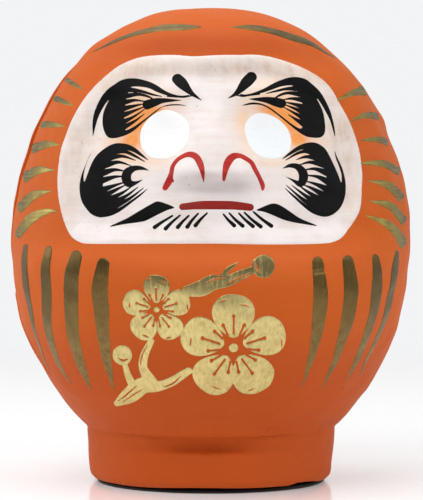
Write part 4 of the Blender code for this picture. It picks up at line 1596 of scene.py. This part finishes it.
# Strokes on the hood, from the wide outer end to the tip beside the face.
HOOD_STROKES = {
    Side.LEFT: [
        ([(-45.0, 126.9), (-41.0, 123.9), (-38.3, 122.2)], [1.7, 1.3, 0.2]),
        ([(-48.9, 121.3), (-44.2, 118.7), (-40.9, 116.9)], [1.9, 1.6, 0.2]),
        ([(-52.4, 112.7), (-47.1, 111.8), (-43.6, 110.9)], [2.4, 1.8, 0.3]),
        ([(-55.6, 105.4), (-49.8, 105.9), (-44.8, 105.2)], [3.4, 2.5, 0.3]),
        ([(-57.8, 96.4), (-52.0, 98.1), (-46.2, 97.6)], [3.7, 2.6, 0.3]),
        ([(-59.0, 86.6), (-54.0, 90.4), (-47.1, 91.5)], [3.6, 3.0, 0.3]),
        ([(-59.2, 78.4), (-54.3, 83.4), (-48.5, 85.4), (-44.7, 85.2)], [2.6, 3.4, 1.8, 0.3]),
    ],
    Side.RIGHT: [
        ([(47.4, 123.1), (42.0, 120.8), (36.6, 117.8)], [3.4, 1.9, 0.2]),
        ([(51.8, 115.4), (46.2, 114.4), (41.0, 112.1)], [3.0, 1.8, 0.2]),
        ([(54.4, 107.2), (49.7, 107.4), (44.4, 106.5)], [2.6, 1.8, 0.2]),
        ([(57.6, 98.2), (51.9, 100.0), (43.6, 99.7)], [3.0, 2.4, 0.2]),
        ([(58.0, 89.9), (53.0, 93.6), (46.9, 94.7)], [3.4, 2.5, 0.2]),
        ([(58.6, 82.8), (53.3, 87.3), (46.8, 88.6)], [3.4, 2.6, 0.2]),
        ([(58.3, 75.8), (53.1, 81.2), (45.5, 84.3)], [3.8, 2.8, 0.2]),
    ],
}

SIDE_STROKES = {
    Side.LEFT: [
        ([(-56.0, 75.0), (-56.1, 70.4), (-55.7, 64.0), (-54.6, 56.8), (-52.8, 49.1), (-50.0, 40.5),
          (-48.3, 37.0)], [1.7, 2.2, 2.2, 1.7, 1.1, 0.5, 0.1]),
        ([(-47.8, 74.0), (-48.8, 68.4), (-48.9, 60.0), (-48.4, 51.6), (-46.2, 43.1), (-43.8, 37.6),
          (-41.3, 34.0)], [2.5, 3.2, 3.4, 2.8, 1.9, 1.0, 0.1]),
        ([(-38.7, 72.0), (-40.4, 65.2), (-40.8, 58.2), (-40.4, 49.9), (-39.0, 42.3), (-37.0, 36.8),
          (-35.3, 32.3)], [3.9, 4.9, 4.6, 3.8, 2.9, 1.9, 0.1]),
        ([(-30.4, 70.0), (-31.8, 62.4), (-31.7, 56.6), (-31.5, 50.7), (-30.7, 42.8), (-29.4, 36.8),
          (-28.6, 32.7)], [3.7, 4.9, 4.6, 3.9, 3.0, 1.6, 0.1]),
    ],
    Side.RIGHT: [
        ([(55.4, 73.1), (55.0, 69.1), (53.9, 61.9), (52.5, 54.3), (49.7, 46.7), (47.2, 41.2),
          (45.0, 35.6)], [1.6, 2.6, 2.6, 2.1, 1.4, 1.0, 0.1]),
        ([(47.9, 71.7), (48.5, 66.3), (48.4, 59.6), (47.2, 52.9), (45.0, 45.4), (42.8, 39.4),
          (40.2, 34.3)], [2.4, 3.4, 3.6, 2.9, 2.3, 1.4, 0.1]),
        ([(39.5, 70.9), (40.3, 64.4), (40.1, 58.2), (39.1, 51.6), (37.8, 45.8), (35.9, 39.5),
          (33.0, 31.8)], [3.2, 4.2, 4.2, 3.7, 2.7, 1.7, 0.1]),
        ([(30.7, 70.5), (31.3, 62.7), (31.1, 54.1), (30.0, 47.0), (28.6, 40.6), (26.6, 33.3)],
         [3.3, 4.3, 4.1, 2.9, 1.7, 0.1]),
    ],
}


# Lines left bare in the twigs and round the buds: points, and the width at each.
BARE_LINES = (
    ([(-27.2, 29.6), (-24.4, 31.9), (-21.6, 34.4)], (0.1, 0.4, 0.1)),
    ([(-25.6, 29.4), (-22.8, 31.6), (-19.8, 33.4)], (0.1, 0.3, 0.1)),
    ([(-13.6, 34.3), (-11.0, 35.4), (-8.6, 37.6)], (0.1, 0.35, 0.1)),
    ([(-1.4, 64.6), (1.2, 65.7), (3.8, 65.9)], (0.1, 0.3, 0.1)),
    ([(4.6, 64.4), (8.0, 66.1), (11.2, 67.6)], (0.1, 0.35, 0.1)),
    ([(-20.4, 40.4), (-19.9, 43.4), (-18.4, 46.4)], (0.1, 0.3, 0.1)),
    ([(12.6, 70.6), (12.9, 68.9), (14.2, 67.2)], (0.1, 0.45, 0.1)),
    ([(-27.3, 42.6), (-25.6, 41.9), (-24.0, 42.4)], (0.1, 0.45, 0.1)),
)

# Arcs left bare in petals: share of the flower's radius, and first and last angle in degrees.
BARE_ARCS = ((0.90, 8, 17), (0.84, 6, 20), (0.89, -20, -6), (0.80, 5, 15), (0.88, -18, -9), (0.82, -20, -8))


def around(flower: Triple, share: float, degrees: float) -> Point:
    """The place a share of the flower's radius from its heart, at an angle.

    Args:
        flower: its heart's x and z, and its radius.
        share: distance from the heart over the flower's radius.
        degrees: angle from +X.

    Returns:
        The place, as x and z.
    """
    x, z, radius = flower
    turn = math.radians(degrees)
    return x + radius * share * math.cos(turn), z + radius * share * math.sin(turn)


@dataclass
class PlumSpray:
    """A spray of plum blossom drawn in gold: two flowers, two buds and the twigs that hold them."""

    big: Triple = (6.5, 46.0, 15.5)
    small: Triple = (-15.5, 57.0, 10.0)
    petals: int = 5
    heart: float = 0.16
    twigs: Sequence[tuple[Sequence[Point], Sequence[float]]] = (
        ([(-27.6, 28.8), (-23.6, 31.6), (-19.6, 34.6), (-15.6, 34.4), (-11.4, 35.9), (-6.4, 39.2)],
         (2.0, 4.9, 5.0, 3.3, 2.9, 2.3)),
        ([(-22.2, 33.4), (-24.0, 37.0), (-25.1, 40.6)], (3.0, 2.1, 1.6)),
        ([(-17.4, 35.6), (-19.6, 39.6), (-19.2, 43.6), (-17.2, 47.8)], (3.8, 2.7, 2.5, 1.9)),
        ([(-6.6, 62.4), (-2.6, 63.2), (0.6, 64.8), (4.4, 65.0), (8.2, 66.8), (12.2, 68.6)],
         (3.2, 4.6, 4.4, 3.1, 2.9, 1.9)),
        ([(3.2, 65.2), (4.6, 68.2), (7.4, 70.4)], (2.2, 1.5, 0.5)),
    )
    buds: Sequence[Triple] = ((14.8, 69.4, 3.3), (-25.8, 43.4, 3.0))

    def petal(self, flower: Triple, number: int) -> Patch:
        """One petal: a round lobe, narrow at the heart, each a little wider or longer than the last.

        Args:
            flower: its heart's x and z, and its radius.
            number: which petal it is, counted from the top.

        Returns:
            The petal.
        """
        x, z, radius = flower
        turn = math.radians(90 + 360 / self.petals * number + 2.5 * math.sin(3.0 * number + radius))
        wide = 1.0 + 0.05 * math.sin(2.0 * number + radius)
        lobe = [(0.2, 0.05), (0.33, 0.23), (0.56, 0.375), (0.8, 0.37), (0.965, 0.21), (1.0, 0.02)]
        edge = lobe + [(out * 0.985, -side) for out, side in lobe[-2::-1]]
        return Patch([
            (x + radius * (out * math.cos(turn) - side * wide * math.sin(turn)),
             z + radius * (out * math.sin(turn) + side * wide * math.cos(turn)))
            for out, side in edge
        ])

    def stamens(self, flower: Triple) -> list[Stroke]:
        """Fine orange lines left bare from the heart into each petal, with a dot at their ends.

        Args:
            flower: its heart's x and z, and its radius.

        Returns:
            The lines.
        """
        widths = [share * flower[2] for share in (0.035, 0.03, 0.065)]
        lines = []
        for number in range(self.petals * 3):
            degrees = 90 + 120 / self.petals * number
            reach = 0.6 if number % 3 == 0 else 0.47
            spots = [around(flower, share, degrees) for share in (0.27, reach - 0.05, reach)]
            lines.append(Stroke(spots, widths))
        return lines

    def bristles(self, flower: Triple) -> list[Stroke]:
        """Thin dry lines near the outer edges of some petals, as arcs round the heart.

        Args:
            flower: its heart's x and z, and its radius.

        Returns:
            The lines.
        """
        lines = []
        for number, (share, start, end) in enumerate(BARE_ARCS):
            degrees = 90 + 360 / self.petals * (2 * number)
            spots = [around(flower, share, degrees + step) for step in np.linspace(start, end, 4)]
            lines.append(Stroke(spots, [0.05, 0.3, 0.25, 0.05]))
        return lines

    def shapes(self) -> list[Stroke | Patch]:
        """Everything that is gold in the spray.

        Returns:
            The shapes.
        """
        parts: list[Stroke | Patch] = []
        for flower in (self.big, self.small):
            parts += [self.petal(flower, number) for number in range(self.petals)]
            x, z, radius = flower
            heart = self.heart * radius * 1.1
            parts.append(Stroke([(x, z), (x + 0.05, z)], [heart, heart]))
        parts += [Stroke(path, widths) for path, widths in self.twigs]
        parts += [Stroke([(x, z), (x + 0.5, z + 0.7)], [2 * size, 1.5 * size]) for x, z, size in self.buds]
        return parts

    def bare(self) -> list[Stroke]:
        """Lines where the orange shows through: stamens, dry bristle marks and the buds' collars.

        Returns:
            The lines.
        """
        lines = [Stroke(path, widths) for path, widths in BARE_LINES]
        for flower in (self.big, self.small):
            lines += self.stamens(flower) + self.bristles(flower)
        return lines


@dataclass
class GoldWork:
    """The gold strokes on the crown, hood and sides, and the spray on the belly."""

    form: DollForm
    upright: bpy.types.Material
    level: bpy.types.Material
    crown: bpy.types.Material
    spray: bpy.types.Material

    def wrapped(self, node: str, stroke: Stroke, finish: bpy.types.Material) -> None:
        """One stroke laid round the doll's side."""
        coat = WrappedCoat(node, [stroke], layer=Layer.ON_PAPER, cell=0.24, ragged=0.05, form=self.form)
        settle(coat.build(self.form), finish, node)

    def dress(self) -> None:
        """Makes every gold film and dresses it."""
        for side in Side:
            name = side.value
            for number, (path, widths) in enumerate(HOOD_STROKES[side], 1):
                self.wrapped(f"hood_stroke_{number}_{name}", Stroke(path, widths, 0.35), self.level)
            for number, (path, widths) in enumerate(SIDE_STROKES[side], 1):
                self.wrapped(f"side_stroke_{number}_{name}", Stroke(path, widths), self.upright)
            node = f"crown_stroke_{name}"
            coat = PaintCoat(node, [CROWN_STROKES[side]], layer=Layer.ON_PAPER, cell=0.2, ragged=0.04)
            settle(coat.build(self.form), self.crown, node)
        spray = PlumSpray()
        coat = PaintCoat("plum_spray", spray.shapes(), spray.bare(), Layer.ON_PAPER, 0.17, 0.05)
        settle(coat.build(self.form), self.spray, "plum_spray")


# ---------------------------------------------------------------- the studio


@dataclass
class Studio:
    """A pale glossy table, soft lights and the camera."""

    eye: Triple = (0.0002, -0.600, 0.0723)
    aim: Triple = (0.0, 0.0, 0.07)
    lens: float = 137.0
    table: Colour = (250, 249, 250)
    table_side: float = 190.0
    table_spread: float = 1000.0
    table_near: float = -175.0
    table_far: float = 6000.0
    fade: Point = (300.0, 900.0)
    far: Triple = (0.895, 0.90, 0.92)
    dim: float = 0.18
    bright: float = 0.85

    def camera(self) -> None:
        """A level camera in front of the doll."""
        data = bpy.data.cameras.new("camera")
        data.sensor_width = 36.0
        data.lens = self.lens
        camera = bpy.data.objects.new("camera", data)
        camera.location = self.eye
        camera.rotation_euler = (math.radians(90), 0.0, 0.0)
        bpy.context.scene.collection.objects.link(camera)
        bpy.context.scene.camera = camera

    def light(self, name: str, place: Sequence[float], size: float, power: float) -> None:
        """A soft square light that looks at the doll.

        Args:
            name: the light's name.
            place: where it stands, in metres.
            size: length of its sides, in metres.
            power: its strength, in watts.
        """
        data = bpy.data.lights.new(name, "AREA")
        data.size = size
        data.energy = power
        lamp = bpy.data.objects.new(name, data)
        lamp.location = place
        way = np.array(self.aim) - np.array(place)
        way /= np.linalg.norm(way)
        pitch = math.acos(-way[2])
        yaw = math.atan2(-way[0], way[1])
        lamp.rotation_euler = (pitch, 0.0, yaw)
        bpy.context.scene.collection.objects.link(lamp)

    def floor(self) -> None:
        """A large smooth table top."""
        side, wide, near, far = self.table_side, self.table_spread, self.table_near, self.table_far
        spots = np.array([(-side, near, 0), (side, near, 0), (wide, far, 0), (-wide, far, 0)], float)
        table = make_piece("table", spots, np.array([[0, 1, 2, 3]]))
        bench = Bench("table_top")
        shine = {"Emission_Color": linear(255, 255, 255), "Emission_Strength": 0.15}
        bench.finish(Base_Color=linear(*self.table), Roughness=0.14, Specular_IOR_Level=0.75, **shine)
        glow = bench.node("ShaderNodeEmission", {}, {"Color": (*self.far, 1.0)})
        share = bench.y.step(*self.fade)
        inputs = {0: share, 1: Wire(bench, bench.shader.outputs[0]), 2: Wire(bench, glow.outputs[0])}
        mix = bench.node("ShaderNodeMixShader", {}, inputs)
        bench.tree.links.new(mix.outputs[0], bench.output.inputs["Surface"])
        table.data.materials.append(bench.material)

    def sky(self) -> None:
        """Even light that is dim in front of the doll and bright behind it."""
        world = bpy.data.worlds.new("studio")
        world.use_nodes = True
        board = NodeBoard(world.node_tree)
        place = board.node("ShaderNodeTexCoord", {}, {})
        parts = board.node("ShaderNodeSeparateXYZ", {}, {0: Wire(board, place.outputs["Generated"])})
        strength = Wire(board, parts.outputs["Y"]).step(-0.15, 0.75) * (self.bright - self.dim) + self.dim
        soft = board.node("ShaderNodeBackground", {}, {"Strength": strength})
        seen = board.node("ShaderNodeBackground", {}, {"Color": (*self.far, 1.0)})
        path = board.node("ShaderNodeLightPath", {}, {})
        inputs = {0: Wire(board, path.outputs["Is Camera Ray"])}
        inputs |= {1: Wire(board, soft.outputs[0]), 2: Wire(board, seen.outputs[0])}
        mix = board.node("ShaderNodeMixShader", {}, inputs)
        board.node("ShaderNodeOutputWorld", {}, {"Surface": Wire(board, mix.outputs[0])})
        bpy.context.scene.world = world

    def set_up(self) -> None:
        """Makes the whole studio."""
        self.camera()
        self.floor()
        self.sky()
        self.light("key", (-0.5, -0.8, 1.0), 0.9, 10.2)
        self.light("fill", (0.9, -0.75, 0.75), 0.9, 6.0)
        self.light("overhead", (-0.15, 0.1, 1.25), 1.2, 6.6)
        self.light("left side", (-1.1, 0.2, 0.35), 0.6, 3.2)
        self.light("right side", (1.1, -0.1, 0.35), 0.6, 2.0)
        bpy.context.scene.view_settings.view_transform = "Standard"


# ---------------------------------------------------------------- all of it


def main() -> None:
    """Builds the doll piece by piece and sets up the studio."""
    logging.basicConfig(level=logging.INFO, format="%(name)s %(message)s")
    form = DollForm()
    Studio().set_up()
    PaperBody(form, OrangePaint().build()).dress()
    clay = DullBody("clay", (128, 108, 88), (96, 80, 66), 1.4)
    # The board is near black: partly its own dark colour and partly painted contact shadow under the foot.
    board = DullBody("board", (38, 30, 24), (26, 21, 17), 0.8)
    FootFilling(clay.build(), board.build()).dress()
    black = BrushPaint("black_paint", (7, 7, 8), (16, 15, 15), 0.5, 0.10)
    red = BrushPaint("red_paint", (178, 34, 28), (196, 56, 44), 0.42)
    # The lips' red is darker as painted shade from the nose above them.
    shaded_lip_red = BrushPaint("shaded_lip_paint", (142, 27, 17), (156, 38, 26), 0.42)
    eyes = {
        Side.LEFT: BrushPaint("eye_paint_left", (253, 254, 253), (250, 250, 249), 0.5).build(),
        Side.RIGHT: BrushPaint("eye_paint_right", (246, 249, 251), (243, 245, 247), 0.5).build(),
    }
    PaintedFace(form, WhitePaint().build(), eyes, black.build(), red.build(), shaded_lip_red.build()).dress()
    # high, rise and axis paint dark reflections: higher up on side strokes, towards the sides on hood
    # strokes, top of spray.
    upright = GoldPaint(
        "gold_upright", (136, 112, 66), (94, 74, 40), (1.9, 1.9, 0.03), 0.8, high=0.75, rise=(40.0, 66.0)
    )
    level = GoldPaint(
        "gold_level", (176, 156, 84), (122, 106, 50), (0.08, 0.08, 1.9), 0.8,
        deep=(90, 74, 22), high=0.9, rise=(-36.0, -17.0), axis="y",
    )
    crown = GoldPaint("gold_crown", (130, 108, 56), (88, 72, 36), (0.08, 0.08, 1.9), 0.9)
    spray = GoldPaint(
        "gold_spray", (208, 192, 130), (140, 120, 66), (1.3, 1.3, 0.16), 0.5, high=0.6, turn=35.0
    )
    GoldWork(form, upright.build(), level.build(), crown.build(), spray.build()).dress()


if __name__ == "__main__":
    main()
